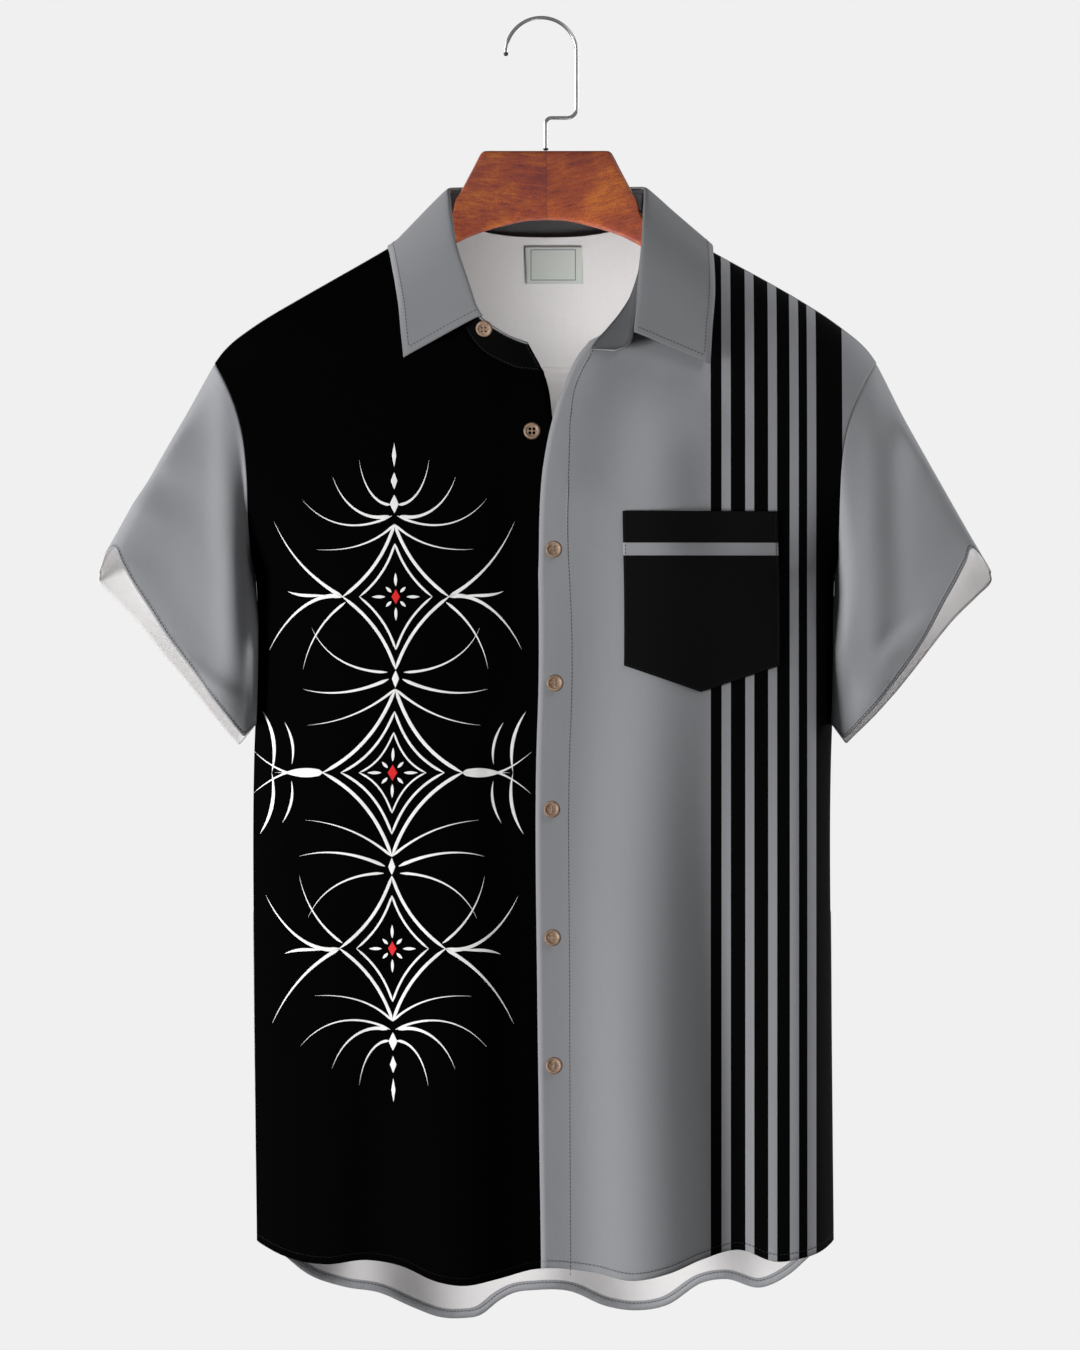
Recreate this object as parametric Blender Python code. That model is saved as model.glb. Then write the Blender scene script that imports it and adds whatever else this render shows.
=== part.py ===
"""Short-sleeved bowling shirt on a wooden hanger with a wire hook, in metres, +Z up.

The hook hangs from the origin, on the inside of its crown. The front faces -Y, and the wearer's left
is at +X. The cloth is worked out in millimetres as "across" (from the hanger's middle, + to the
wearer's left), "depth" (+ to the back) and "drop" (below the hook's crown). Each cut piece is a wall
of its own, a small gap from the next.
"""

import math

import bmesh
import bpy
import numpy as np
from mathutils import Matrix, Vector

for old in list(bpy.data.objects):
    bpy.data.objects.remove(old)

MM = 0.001
HANG_X = 3.0  # the hanger's middle, to the side of the hook's crown
LEAN = np.array([
    # drop, how far the cloth hangs to the side of the hanger's middle
    (136, 0), (165, 1.2), (200, 2.2), (225, 0.6), (250, 0), (300, -1.2), (360, -1.0), (415, 0),
    (480, -0.3), (530, -2.0), (700, -2.0), (800, -1.0), (900, 0), (950, 0),
])
GAP = 0.3  # between two pieces that are sewn together
CLOTH = 1.4  # one wall of cloth
COLLAR_CLOTH = 1.5

# Level rings of the body: its depth to the front and to the back, and how square the ring is.
BODY = np.array([
    # drop, front, back, squareness
    (134, 12, 18, 2.0),
    (158, 33, 38, 2.05),
    (180, 46, 49, 2.1),
    (205, 57, 57, 2.1),
    (235, 66, 64, 2.15),
    (270, 74, 70, 2.2),
    (320, 80, 76, 2.25),
    (370, 84, 80, 2.5),
    (400, 86, 82, 2.8),
    (450, 87, 83.5, 2.8),
    (650, 91, 88, 2.6),
    (950, 97, 95, 2.5),
])
# The shoulder line, from the neck to the top of the armhole.
SHOULDER = np.array([
    # drop, across
    (136, 72), (150.8, 90), (166.3, 114), (175.2, 129.6), (189.2, 154.8), (203.6, 180),
    (218, 203.4), (225.5, 214), (232.8, 223.5), (239.5, 230.3), (248.5, 237),
])
# The armhole's edge seen from the front, down to the armpit, then the side seam.
ARMHOLE = np.array([
    # drop, across
    (248.5, 237), (259, 231), (270, 225.5), (281, 221), (292, 217.6), (303, 215.2), (324, 213),
    (346, 212.3), (370, 211.4), (386, 210), (400, 207.3), (415, 206.3), (450, 206.3), (950, 206.3),
])
SHOULDER_TIP = 248.5
ARMPIT = 400.0
ARMHOLE_DEPTH = 57.0  # half of the armhole's width, from front to back
ARMHOLE_POWER = 2.0

# The lower edges, with the waves in which they hang.
FRONT_HEM = np.array([
    # across, drop
    (-206.3, 879), (-189, 888.8), (-158, 896), (-129, 893.2), (-103, 897.5), (-77, 909), (-59.8, 912),
    (-34, 906.8), (-8, 899.5), (35, 902), (61, 908.3), (87, 903.3), (113, 892.4), (139, 886),
    (165, 893.9), (182, 891), (199, 884), (206.3, 878.5),
])
BACK_HEM = np.array([
    # across, drop
    (-206.3, 879), (-192, 888), (-172, 904), (-146, 913.3), (-120, 917.5), (-94, 928.8), (-77, 935.2),
    (-60, 936.2), (-47, 934), (-34, 923.8), (-24, 918.4), (-8, 916.2), (18, 917), (44, 927.7),
    (65.5, 930.8), (87, 927), (113, 910.4), (130, 907.8), (156, 914), (175, 905), (193, 889),
    (206.3, 878.5),
])
# The large upright folds of the body: where each runs, its half width and how far it stands out.
FRONT_FOLDS = (
    # across at the chest, across at the hem, half width, out, drop where it starts
    (-60, -61, 30, 9, 430), (-112, -120, 24, -7, 450), (-158, -159, 20, 4, 600),
    (50, 61, 30, 8, 400), (108, 132, 26, -9, 420), (168, 166, 16, 4, 600),
)
BACK_FOLDS = (
    (-60, -68, 32, 8, 470), (-108, -118, 24, -5, 520), (-150, -152, 20, 4, 600),
    (0, 2, 26, -6, 480), (58, 65, 32, 8, 450), (108, 122, 24, -6, 520), (152, 157, 18, 4, 600),
)
FOLD_FULL = 400.0  # how far below its start a fold reaches its full height

# Edges of the two fronts, from the neck to the middle of the chest.
NECK_RIGHT = np.array([
    # across, drop: the wearer's right front, from the shoulder to the end of the collar stand
    (-72, 136), (-71.5, 150), (-70.5, 166), (-68.5, 184), (-65, 203), (-57, 224), (-44, 240),
    (-23, 250.5), (-1.5, 254),
])
EDGE_RIGHT = np.array([(-1.5, 254), (2.2, 265), (6, 288), (9, 310), (13, 345), (15.5, 400)])
NECK_LEFT = np.array([
    # across, drop: the wearer's left front
    (72, 136), (71.5, 150), (69.5, 170), (66.5, 182), (62.5, 193), (57.5, 204), (51.5, 214.5),
    (43.5, 225.2), (31, 233),
])
EDGE_LEFT = np.array([(31, 233), (23.5, 242.5), (13.7, 264), (6.2, 288), (0.4, 317), (-5, 400)])
EDGE_RIGHT_HEM = 15.5  # the right front's edge, tucked under the left front's
EDGE_LEFT_HEM = -3.2
BACK_NECK = np.array([(-72, 136), (-65, 144), (-50, 151.5), (-28, 155.8), (0, 157)])
TUCK = 2.6  # the right front steps back by this where the left front lies over it
TUCK_FROM, TUCK_TO = -48.0, -19.0

YOKE_DROP = 254.5  # the yoke's seam at the middle of the back
YOKE_DIP = 45.0  # how much lower that seam is at the armhole

# Sleeves.
CUFF_OUT = (323.6, 403.2)  # across, drop of the cuff's outer corner
CUFF_IN = (222.5, 522.5)  # of its inner corner, beside the body
CUFF_BLUNT, CUFF_BLUNT_TURN = 9.0, 0.5  # how far that corner is flattened against the body, over what turn
ARMPIT_CLEAR = 2.9  # how far the sleeve stands off the side seam at the armpit
BESIDE_BODY = 209.6  # the sleeve stays this far out, clear of the side seam
CUFF_DEPTH = 53.0
CUFF_POWER = 2.5
SLEEVE_FULL = 5.0  # how far the sleeve's front and back swell half way down
SLEEVE_WAY = (0.485, 0.875)  # the way the sleeve runs, in across and drop
CUFF_RISE = np.array([
    # angle round the cuff from its outer corner by the front, how far the hem is drawn up there
    (0, 0), (17, 20), (34, 17), (55, 11), (90, 7), (125, 4.5), (155, 2), (180, 9), (205, 1), (250, 0),
    (360, 0),
])

# The collar, from the end at the wearer's right round the back to the end at the wearer's left.
STAND = np.array([
    # across, depth, drop of the seam; across, depth, drop of the fold or upper edge
    (-1.5, -69, 254, -13.7, -77, 233.6),
    (-12, -70, 252.5, -22.5, -77, 230.4),
    (-23, -70, 250.5, -33, -77, 225.2),
    (-44, -67, 240, -47.5, -74, 215.5),
    (-57, -62, 224, -53.5, -72, 206),
    (-65, -54, 203, -59.5, -66, 188),
    (-68.5, -43, 184, -64, -56, 165),
    (-70.5, -30, 166, -65.5, -42, 147),
    (-71.5, -15, 150, -66.5, -22, 131),
    (-72, 0, 136, -67.5, -3, 124),
    (-65, 20, 144, -63, 16, 122.5),
    (-50, 34, 151.5, -50, 30, 122.5),
    (-28, 42, 155.8, -28, 38, 124.5),
    (0, 44, 157, 0, 40, 125.5),
    (28, 42, 155.8, 28, 38, 124.5),
    (50, 34, 151.5, 50, 30, 122.5),
    (65, 20, 144, 65.5, 16, 122),
    (72, 0, 136, 72, -3, 123.5),
    (71.5, -15, 150, 72, -22, 131),
    (69.5, -33, 170, 70.5, -42, 148),
    (66.5, -43, 182, 68.5, -55, 168),
    (62.5, -50, 193, 66, -62, 187),
    (57.5, -55, 204, 64.5, -67, 203),
    (51.5, -60, 214.5, 63.6, -72, 216),
    (43.5, -64, 225.2, 63, -76, 226.5),
    (38.5, -66, 231, 61.8, -77, 232.6),
    (35.2, -67.5, 235.6, 58, -77, 237.4),
    (33, -68, 239, 50.5, -77, 240.2),
])
# The collar leaf's outer edge, over the same part of the fold. Its rows are counted in STAND.
LEAF = np.array([
    # row of the stand's table, across, depth, drop
    (3, -101.8, -66, 244.3),
    (4, -103.2, -62, 232),
    (5, -105.6, -54, 215),
    (6, -108.6, -44, 198),
    (7, -111, -30, 182),
    (8, -112.6, -14, 170),
    (9, -113, 0, 166),
    (10, -104, 26, 168),
    (11, -80, 42, 174),
    (12, -45, 51, 178),
    (13, 0, 54, 179),
    (14, 45, 51, 178),
    (15, 80, 42, 174),
    (16, 104, 26, 168),
    (17, 117, 0, 162.5),
    (18, 118.6, -14, 172),
    (19, 118.9, -28, 184),
    (20, 118.9, -40, 198),
    (21, 118.8, -49, 212),
    (22, 118.7, -56, 225),
    (23, 118.4, -62, 237),
    (24, 117.8, -66, 248.8),
])
ROLL = 2.4  # how high the collar rolls at its fold
LEAF_OUT = 11.0  # how far the leaf runs out before it falls

# The pocket on the wearer's left.
POCKET_LEFT, POCKET_RIGHT = 56.1, 166.4
POCKET_TOP, POCKET_SIDE, POCKET_POINT = 354.6, 465.3, 484.2
POCKET_CLOTH = 1.0
LABEL = (-16.2, 25.2, 162.6, 189.2)  # left, right, top, bottom
LABEL_CLOTH = 0.8

# Buttons: where each one sits. The first two are off the edge that they close.
BUTTON_RADIUS, BUTTON_THICK = 6.1, 2.4
HOLE_RADIUS, HOLE_OUT = 0.75, 1.55  # its four holes, and how far they are from its middle
BUTTONS = (
    # across, drop
    (-43.8, 223.0), (-8.5, 297.5), (6.5, 382.2), (7.1, 477.8), (7.2, 568.2), (7.5, 660.0), (7.8, 751.5),
)

# The hanger: its upper and lower edges, and half of its thickness.
HANGER = np.array([
    # across, top drop, bottom drop, half thickness
    (0, 94.7, 144.4, 6.5),
    (15, 94.7, 145.3, 6.5),
    (32, 94.7, 149.0, 6.5),
    (43, 94.7, 152.2, 6.5),
    (46, 95.6, 153.2, 6.5),
    (48.2, 98.3, 154.0, 6.5),
    (52.6, 106.9, 155.6, 6.5),
    (57.2, 115.6, 157.6, 6.6),
    (61.8, 124.2, 160.0, 6.8),
    (65.4, 130.0, 161.8, 7.0),
    (67.0, 137.0, 163.0, 7.0),
    (69.6, 142.2, 164.4, 7.1),
    (74.0, 145.4, 166.4, 7.3),
    (81, 149.4, 170.2, 7.6),
    (95, 159.2, 178.5, 8.2),
    (115, 172.4, 190.5, 9.0),
    (140, 187.4, 205.0, 9.8),
    (165, 201.8, 219.5, 10.2),
    (188, 215.2, 232.5, 10.0),
    (203, 225.0, 240.5, 9.0),
    (211, 231.0, 243.5, 7.0),
    (214.5, 235.5, 241.5, 3.5),
])
HANGER_SEAM = 0.7  # across
WIRE = 1.3  # half of the hook's wire
HOOK_RADIUS = 25.5
STEM = 3.2  # where the stem stands, across from the crown
HOOK_RUN = 70.9  # drop of the level part between the hook and the stem
FERRULE_RADIUS, FERRULE_TALL = 2.6, 2.2

COLOURS = {
    "grey": (0.225, 0.23, 0.245), "black": (0.012, 0.012, 0.013), "pale": (0.72, 0.69, 0.68),
    "wood_dark": (0.21, 0.052, 0.022), "wood_light": (0.24, 0.062, 0.026), "steel": (0.62, 0.62, 0.63),
    "nut": (0.13, 0.082, 0.055), "label": (0.68, 0.70, 0.66), "dark": (0.08, 0.06, 0.05),
}
parts = bpy.data.collections.new("bowling_shirt")
cutters = bpy.data.collections.new("cutters")
for collection in (parts, cutters):
    bpy.context.scene.collection.children.link(collection)
cutters.hide_render = True


def add_part(name, mesh, colour, metallic=0.0, roughness=0.8):
    """A named object holding the mesh, with a Principled material of its own."""
    material = bpy.data.materials.new(name)
    material.use_nodes = True
    shader = material.node_tree.nodes["Principled BSDF"]
    shader.inputs["Base Color"].default_value = (*COLOURS[colour], 1)
    shader.inputs["Metallic"].default_value = metallic
    shader.inputs["Roughness"].default_value = roughness
    mesh.materials.append(material)
    part = bpy.data.objects.new(name, mesh)
    parts.objects.link(part)
    return part


def smooth(at, stops, values):
    """A cubic through the values at the stops, level or sloping as their neighbours do."""
    slopes = np.gradient(values, stops)
    at = np.clip(at, stops[0], stops[-1])
    k = np.clip(np.searchsorted(stops, at) - 1, 0, len(stops) - 2)
    step = stops[k + 1] - stops[k]
    t = (at - stops[k]) / step
    return (
        values[k] * (1 - t) ** 2 * (1 + 2 * t)
        + values[k + 1] * t**2 * (3 - 2 * t)
        + step * (slopes[k] * t * (1 - t) ** 2 - slopes[k + 1] * t**2 * (1 - t))
    )


def ease(low, high, at):
    t = np.clip((at - low) / (high - low), 0, 1)
    return t * t * (3 - 2 * t)


def place(points, lean=True):
    """Across, depth and drop in millimetres, as world positions in metres."""
    points = np.asarray(points, float)
    across = points[..., 0] + HANG_X
    if lean:
        across = across + smooth(points[..., 2], LEAN[:, 0], LEAN[:, 1])
    return np.stack([across, points[..., 1], -points[..., 2]], -1) * MM


def half_width(drop):
    shoulder = smooth(drop, SHOULDER[:, 0], SHOULDER[:, 1])
    side = smooth(drop, ARMHOLE[:, 0], ARMHOLE[:, 1])
    return np.where(drop < SHOULDER_TIP, shoulder, side)


def armhole_depth(drop):
    """How far the armhole's edge is from the middle of the body's depth."""
    middle, half = (SHOULDER_TIP + ARMPIT) / 2, (ARMPIT - SHOULDER_TIP) / 2
    inside = np.clip(1 - np.abs((drop - middle) / half) ** ARMHOLE_POWER, 0, 1)
    return ARMHOLE_DEPTH * inside ** (1 / ARMHOLE_POWER)


def body_depth(across, drop, side):
    """Depth of the body's inner face, at its front (side -1) or its back (side 1).

    Each level ring is a superellipse. Beside the armhole the ring is wider than the body, so that it
    meets the armhole's edge at its depth. The folds die out at the side seams.
    """
    full = smooth(drop, BODY[:, 0], BODY[:, 1 if side < 0 else 2])
    power = smooth(drop, BODY[:, 0], BODY[:, 3])
    edge = half_width(drop)
    opening = np.clip(armhole_depth(drop) / full, 0, 0.98)
    ring = edge / (1 - opening**power) ** (1 / power)
    level = np.clip(1 - np.abs(across / ring) ** power, 0, 1) ** (1 / power)
    folds = 0.0
    for chest, hem, width, out, start in FRONT_FOLDS if side < 0 else BACK_FOLDS:
        middle = chest + (hem - chest) * ease(start, 900, drop)
        strength = out * ease(start, start + FOLD_FULL, drop)
        folds = folds + strength * np.exp(-(((across - middle) / width) ** 2))
    folds = folds * np.clip(1 - np.abs(across / edge) ** 5, 0, 1)
    return side * (full * level + folds)


def normals_of(grid, flip):
    """Unit normals of a grid of points, from its slopes along both ways."""
    normal = np.cross(np.gradient(grid, axis=0), np.gradient(grid, axis=1))
    normal /= np.maximum(np.linalg.norm(normal, axis=-1, keepdims=True), 1e-9)
    return -normal if flip else normal


def wall(name, inner, normal, thick, colour, tube=False):
    """A closed wall between a grid and the same grid moved along its normals."""
    rows, columns = inner.shape[:2]
    outer = inner + normal * thick
    points = place(np.concatenate([inner.reshape(-1, 3), outer.reshape(-1, 3)]))
    shift = rows * columns
    number = np.arange(shift).reshape(rows, columns)
    if tube:
        number = np.concatenate([number, number[:, :1]], 1)
    a, b, c, d = number[:-1, :-1], number[1:, :-1], number[1:, 1:], number[:-1, 1:]
    faces = [np.stack([a, b, c, d], -1).reshape(-1, 4)]
    faces += [np.stack([d, c, b, a], -1).reshape(-1, 4) + shift]
    borders = [number[0], number[-1][::-1]]
    if not tube:
        borders = [np.concatenate([number[0], number[1:, -1], number[-1, -2::-1], number[-2::-1, 0]])]
    for border in borders:
        p, q = border[:-1], border[1:]
        faces.append(np.stack([p, q, q + shift, p + shift], -1))
    mesh = bpy.data.meshes.new(name)
    mesh.from_pydata(points.tolist(), [], np.concatenate(faces).tolist())
    mesh.validate()
    shape = bmesh.new()
    shape.from_mesh(mesh)
    bmesh.ops.recalc_face_normals(shape, faces=shape.faces)
    if shape.calc_volume(signed=True) < 0:
        bmesh.ops.reverse_faces(shape, faces=shape.faces)
    shape.to_mesh(mesh)
    shape.free()
    for polygon in mesh.polygons:
        polygon.use_smooth = True
    return add_part(name, mesh, colour)


def patch(top, bottom, inner, outer, down, share):
    """Points between four edges: each row mixes the top and the bottom, then is drawn to the sides."""
    down, share = down[:, None, None], share[None, :, None]
    between = (1 - down) * top[None] + down * bottom[None]
    return (
        between
        + (1 - share) * (inner[:, None] - between[:, :1])
        + share * (outer[:, None] - between[:, -1:])
    )


def along(line, count, start=0.0, stop=1.0, power=1.0):
    """Points along a line of (across, drop) points, from one share of its length to another."""
    steps = np.r_[0, np.cumsum(np.linalg.norm(np.diff(line, axis=0), axis=1))]
    at = (start + (stop - start) * np.linspace(0, 1, count) ** power) * steps[-1]
    return np.stack([smooth(at, steps, line[:, 0]), smooth(at, steps, line[:, 1])], -1)


def armhole_edge(turn):
    """(across, drop) on the armhole's edge, turning from its top at 0 to the armpit at pi."""
    middle, half = (SHOULDER_TIP + ARMPIT) / 2, (ARMPIT - SHOULDER_TIP) / 2
    drop = middle - half * np.sign(np.cos(turn)) * np.abs(np.cos(turn)) ** (2 / ARMHOLE_POWER)
    return np.stack([half_width(drop), drop], -1)


def solid_points(flat, side):
    """(across, drop) points of a piece, with the body's depth put in."""
    depth = body_depth(flat[..., 0], flat[..., 1], side) + side * GAP / 2
    return np.stack([flat[..., 0], depth, flat[..., 1]], -1)


UPPER_ROWS, NECK_ROWS, LOWER_ROWS, FRONT_COLUMNS = 17, 11, 10, 14


def front_grid(neck, edge, edge_hem, mirror):
    """The inner face of one front, laid out as for the wearer's left, row by row from the shoulder."""
    neck, edge = neck * (mirror, 1), edge * (mirror, 1)
    share = np.sin(np.linspace(0, np.pi / 2, FRONT_COLUMNS + 1)) ** 0.85
    down = (np.arange(UPPER_ROWS + 1) / UPPER_ROWS) ** 2
    crest = SHOULDER[0, 0] + (SHOULDER_TIP - SHOULDER[0, 0]) * np.linspace(0, 1, FRONT_COLUMNS + 1)
    top = np.stack([half_width(crest), crest], -1)
    top[-1] = armhole_edge(np.array(0.0))
    start = edge[-1, 0]
    across = start + (half_width(np.array(ARMPIT)) - start) * share
    bottom = np.stack([across, np.full_like(across, ARMPIT)], -1)
    inner = np.concatenate([
        along(neck, NECK_ROWS + 1, power=1.6),
        along(edge, UPPER_ROWS - NECK_ROWS + 1, power=1.4)[1:],
    ])
    outer = armhole_edge(np.linspace(0, np.pi, UPPER_ROWS + 1))
    upper = patch(top, bottom, inner, outer, down, share)
    hem_across = edge_hem * mirror + (half_width(np.array(900.0)) - edge_hem * mirror) * share
    hem_drop = smooth(hem_across * mirror, FRONT_HEM[:, 0], FRONT_HEM[:, 1])
    hem = np.stack([hem_across, hem_drop], -1)
    step = np.linspace(0, 1, LOWER_ROWS + 1)[1:, None, None]
    lower = bottom[None] * (1 - step) + hem[None] * step
    lower[..., 0] = start + (edge_hem * mirror - start) * step[..., 0] + share * (
        half_width(lower[..., 1]) - start - (edge_hem * mirror - start) * step[..., 0]
    )
    return np.concatenate([upper, lower])


def front_piece(name, neck, edge, edge_hem, mirror, colour):
    flat = front_grid(neck, edge, edge_hem, mirror)
    points = solid_points(flat * (mirror, 1), -1)
    normal = normals_of(points, mirror > 0)
    if mirror < 0:
        points[..., 1] += TUCK * ease(TUCK_FROM, TUCK_TO, points[..., 0])
    wall(name, points, normal, CLOTH, colour)
    return points, normal


right = front_piece("front_right", NECK_RIGHT, EDGE_RIGHT, EDGE_RIGHT_HEM, -1, "black")
left = front_piece("front_left", NECK_LEFT, EDGE_LEFT, EDGE_LEFT_HEM, 1, "grey")

# The back and its yoke, each one piece from armhole to armhole.
BACK_COLUMNS, YOKE_ROWS, BACK_UPPER_ROWS = 30, 8, 6
yoke_end_turn = math.acos(
    ((SHOULDER_TIP + ARMPIT) / 2 - YOKE_DROP - YOKE_DIP) / ((ARMPIT - SHOULDER_TIP) / 2)
)
yoke_end = armhole_edge(np.array(yoke_end_turn))


def yoke_seam(across):
    return YOKE_DROP + (yoke_end[1] - YOKE_DROP) * (across / yoke_end[0]) ** 2


def both_sides(half):
    """Points of the wearer's left mirrored to make a whole edge, from the right to the left."""
    return np.concatenate([(half * (-1, 1))[:0:-1], half])


half_columns = BACK_COLUMNS // 2
neck_columns = 5
crest_drop = np.linspace(SHOULDER[0, 0], SHOULDER_TIP, half_columns - neck_columns + 1)
crest = np.stack([half_width(crest_drop), crest_drop], -1)
back_neck = along(BACK_NECK[::-1] * (-1, 1), neck_columns + 1)
yoke_top = both_sides(np.concatenate([back_neck, crest[1:]]))
share = np.linspace(0, 1, half_columns + 1)
seam_across = yoke_end[0] * share**0.95
yoke_bottom = both_sides(np.stack([seam_across, yoke_seam(seam_across)], -1))
yoke_side = armhole_edge(np.linspace(0, yoke_end_turn, YOKE_ROWS + 1))
yoke_flat = patch(
    yoke_top, yoke_bottom, yoke_side * (-1, 1), yoke_side,
    (np.arange(YOKE_ROWS + 1) / YOKE_ROWS) ** 1.8, np.linspace(0, 1, BACK_COLUMNS + 1),
)
yoke_points = solid_points(yoke_flat, 1)
yoke_normal = normals_of(yoke_points, False)
wall("yoke", yoke_points, yoke_normal, CLOTH, "grey")

share = np.sin(np.linspace(0, np.pi / 2, half_columns + 1)) ** 0.85
seam_across = yoke_end[0] * share
back_top = both_sides(np.stack([seam_across, yoke_seam(seam_across) + GAP + 0.05], -1))
armpit_across = half_width(np.array(ARMPIT)) * share
back_middle = both_sides(np.stack([armpit_across, np.full_like(armpit_across, ARMPIT)], -1))
back_side = armhole_edge(np.linspace(yoke_end_turn, np.pi, BACK_UPPER_ROWS + 1))
back_side[0, 1] += GAP + 0.05
back_upper = patch(
    back_top, back_middle, back_side * (-1, 1), back_side,
    np.linspace(0, 1, BACK_UPPER_ROWS + 1), np.linspace(0, 1, BACK_COLUMNS + 1),
)
hem_across = both_sides(np.stack([half_width(np.array(900.0)) * share, share], -1))[:, 0]
hem = np.stack([hem_across, smooth(hem_across, BACK_HEM[:, 0], BACK_HEM[:, 1])], -1)
step = np.linspace(0, 1, LOWER_ROWS + 1)[1:, None, None]
back_lower = back_middle[None] * (1 - step) + hem[None] * step
back_points = solid_points(np.concatenate([back_upper, back_lower]), 1)
back_normal = normals_of(back_points, False)
wall("back", back_points, back_normal, CLOTH, "grey")

# Sleeves: a tube from the armhole's edge to the cuff.
SLEEVE_COLUMNS, SLEEVE_ROWS = 28, 8


def sleeve_grid():
    """The wearer's left sleeve: rings from the armhole to the cuff, each starting at the top."""
    turn = np.linspace(0, 2 * np.pi, SLEEVE_COLUMNS, endpoint=False)
    edge = armhole_edge(turn)
    clear = GAP + 0.1 + ARMPIT_CLEAR * ((1 - np.cos(turn)) / 2) ** 2.5
    depth = -np.sign(np.sin(turn)) * armhole_depth(edge[:, 1])
    first = np.stack([edge[:, 0] + clear, depth, edge[:, 1]], -1)
    middle = (np.array(CUFF_OUT) + CUFF_IN) / 2
    reach = (np.array(CUFF_OUT) - CUFF_IN) / 2
    across_cuff = np.sign(np.cos(turn)) * np.abs(np.cos(turn)) ** (2 / CUFF_POWER)
    front = np.sign(np.sin(turn)) * np.abs(np.sin(turn)) ** (2 / CUFF_POWER)
    rise = smooth(np.degrees(turn), CUFF_RISE[:, 0], CUFF_RISE[:, 1])
    last = np.stack([
        middle[0] + reach[0] * across_cuff - SLEEVE_WAY[0] * rise,
        -CUFF_DEPTH * front,
        middle[1] + reach[1] * across_cuff - SLEEVE_WAY[1] * rise,
    ], -1)
    last[:, 0] -= CUFF_BLUNT * np.exp(-(((turn - np.pi) / CUFF_BLUNT_TURN) ** 2))
    step = np.linspace(0, 1, SLEEVE_ROWS + 1)[:, None, None]
    rings = first[None] * (1 - step) + last[None] * step
    rings[..., 1] -= SLEEVE_FULL * np.sin(np.pi * step[..., 0]) * front
    rings[..., 0] = np.maximum(rings[..., 0], BESIDE_BODY)
    return rings


def sleeve_normals(rings):
    padded = np.concatenate([rings[:, -1:], rings, rings[:, :1]], 1)
    normal = np.cross(np.gradient(padded, axis=0), np.gradient(padded, axis=1))[:, 1:-1]
    return -normal / np.linalg.norm(normal, axis=-1, keepdims=True)


sleeve_points = sleeve_grid()
sleeve_normal = sleeve_normals(sleeve_points)
for name, mirror in (("sleeve_left", 1), ("sleeve_right", -1)):
    wall(name, sleeve_points * (mirror, 1, 1), sleeve_normal * (mirror, 1, 1), CLOTH, "grey", tube=True)


def lifted(points, clear):
    """The points moved out until each is at least this far from the body's outer face."""
    flat = points.reshape(-1, 3).copy()
    surface = np.concatenate([
        (refined(grid, FINER) + refined(normal, FINER) * CLOTH).reshape(-1, 3) for grid, normal in outside
    ])
    facing = np.concatenate([refined(normal, FINER).reshape(-1, 3) for _, normal in outside])
    for _ in range(3):
        for k in range(len(flat)):
            nearest = np.argmin(((surface - flat[k]) ** 2).sum(1))
            height = (flat[k] - surface[nearest]) @ facing[nearest]
            flat[k] += facing[nearest] * max(0.0, clear - height)
    return flat.reshape(points.shape)


def refined(grid, times):
    """The grid with more points between its own, on straight lines."""
    for axis in (0, 1):
        count = grid.shape[axis]
        at = np.linspace(0, count - 1, (count - 1) * times + 1)
        low = np.minimum(at.astype(int), count - 2)
        t = (at - low).reshape([-1 if k == axis else 1 for k in range(3)])
        grid = np.take(grid, low, axis) * (1 - t) + np.take(grid, low + 1, axis) * t
    return grid


FINER = 5
outside = (right, left, (yoke_points, yoke_normal))

# The collar. The stand rises from the neck seam, and the leaf turns out and down from its fold.
STAND_ROWS, LEAF_ROWS = 2, 6


def spread(table, times):
    """Rows worked out between a table's own, on a smooth curve through them."""
    stops = np.arange(len(table), dtype=float)
    at = np.linspace(0, len(table) - 1, (len(table) - 1) * times + 1)
    return np.stack([smooth(at, stops, table[:, k]) for k in range(table.shape[1])], -1)


stand = spread(STAND, 2)
step = np.linspace(0, 1, STAND_ROWS + 1)[:, None, None]
seam, fold = stand[None, :, :3], stand[None, :, 3:]
rise = (fold - seam) / np.linalg.norm(fold - seam, axis=-1, keepdims=True)
stand_points = seam + rise * (GAP + 1.0) + (fold - seam - rise * (2 * GAP + 1.3)) * step
stand_points = lifted(stand_points, 0.7)
stand_normal = normals_of(stand_points, False)
wall("collar_stand", stand_points, stand_normal, COLLAR_CLOTH, "grey")

first_row, last_row = int(LEAF[0, 0]), int(LEAF[-1, 0])
edge = spread(LEAF[:, 1:], 2)
fold = spread(STAND[first_row : last_row + 1, 3:], 2)
seam = spread(STAND[first_row : last_row + 1, :3], 2)
rise = (fold - seam) / np.linalg.norm(fold - seam, axis=-1, keepdims=True)
out = (edge - fold) / np.linalg.norm(edge - fold, axis=-1, keepdims=True)
# A cubic curve from the fold over its roll to the edge.
pulls = (fold + rise * 0.2, fold + rise * ROLL + out * 0.5, fold + rise * ROLL * 0.4 + out * LEAF_OUT, edge)
step = (np.linspace(0, 1, LEAF_ROWS + 1) ** 1.4)[:, None, None]
leaf_points = (
    pulls[0][None] * (1 - step) ** 3
    + 3 * pulls[1][None] * step * (1 - step) ** 2
    + 3 * pulls[2][None] * step**2 * (1 - step)
    + pulls[3][None] * step**3
)
leaf_points[1:] = lifted(leaf_points[1:], 0.6)
leaf_normal = normals_of(leaf_points, False)
wall("collar_leaf", leaf_points, leaf_normal, COLLAR_CLOTH, "grey")

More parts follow.
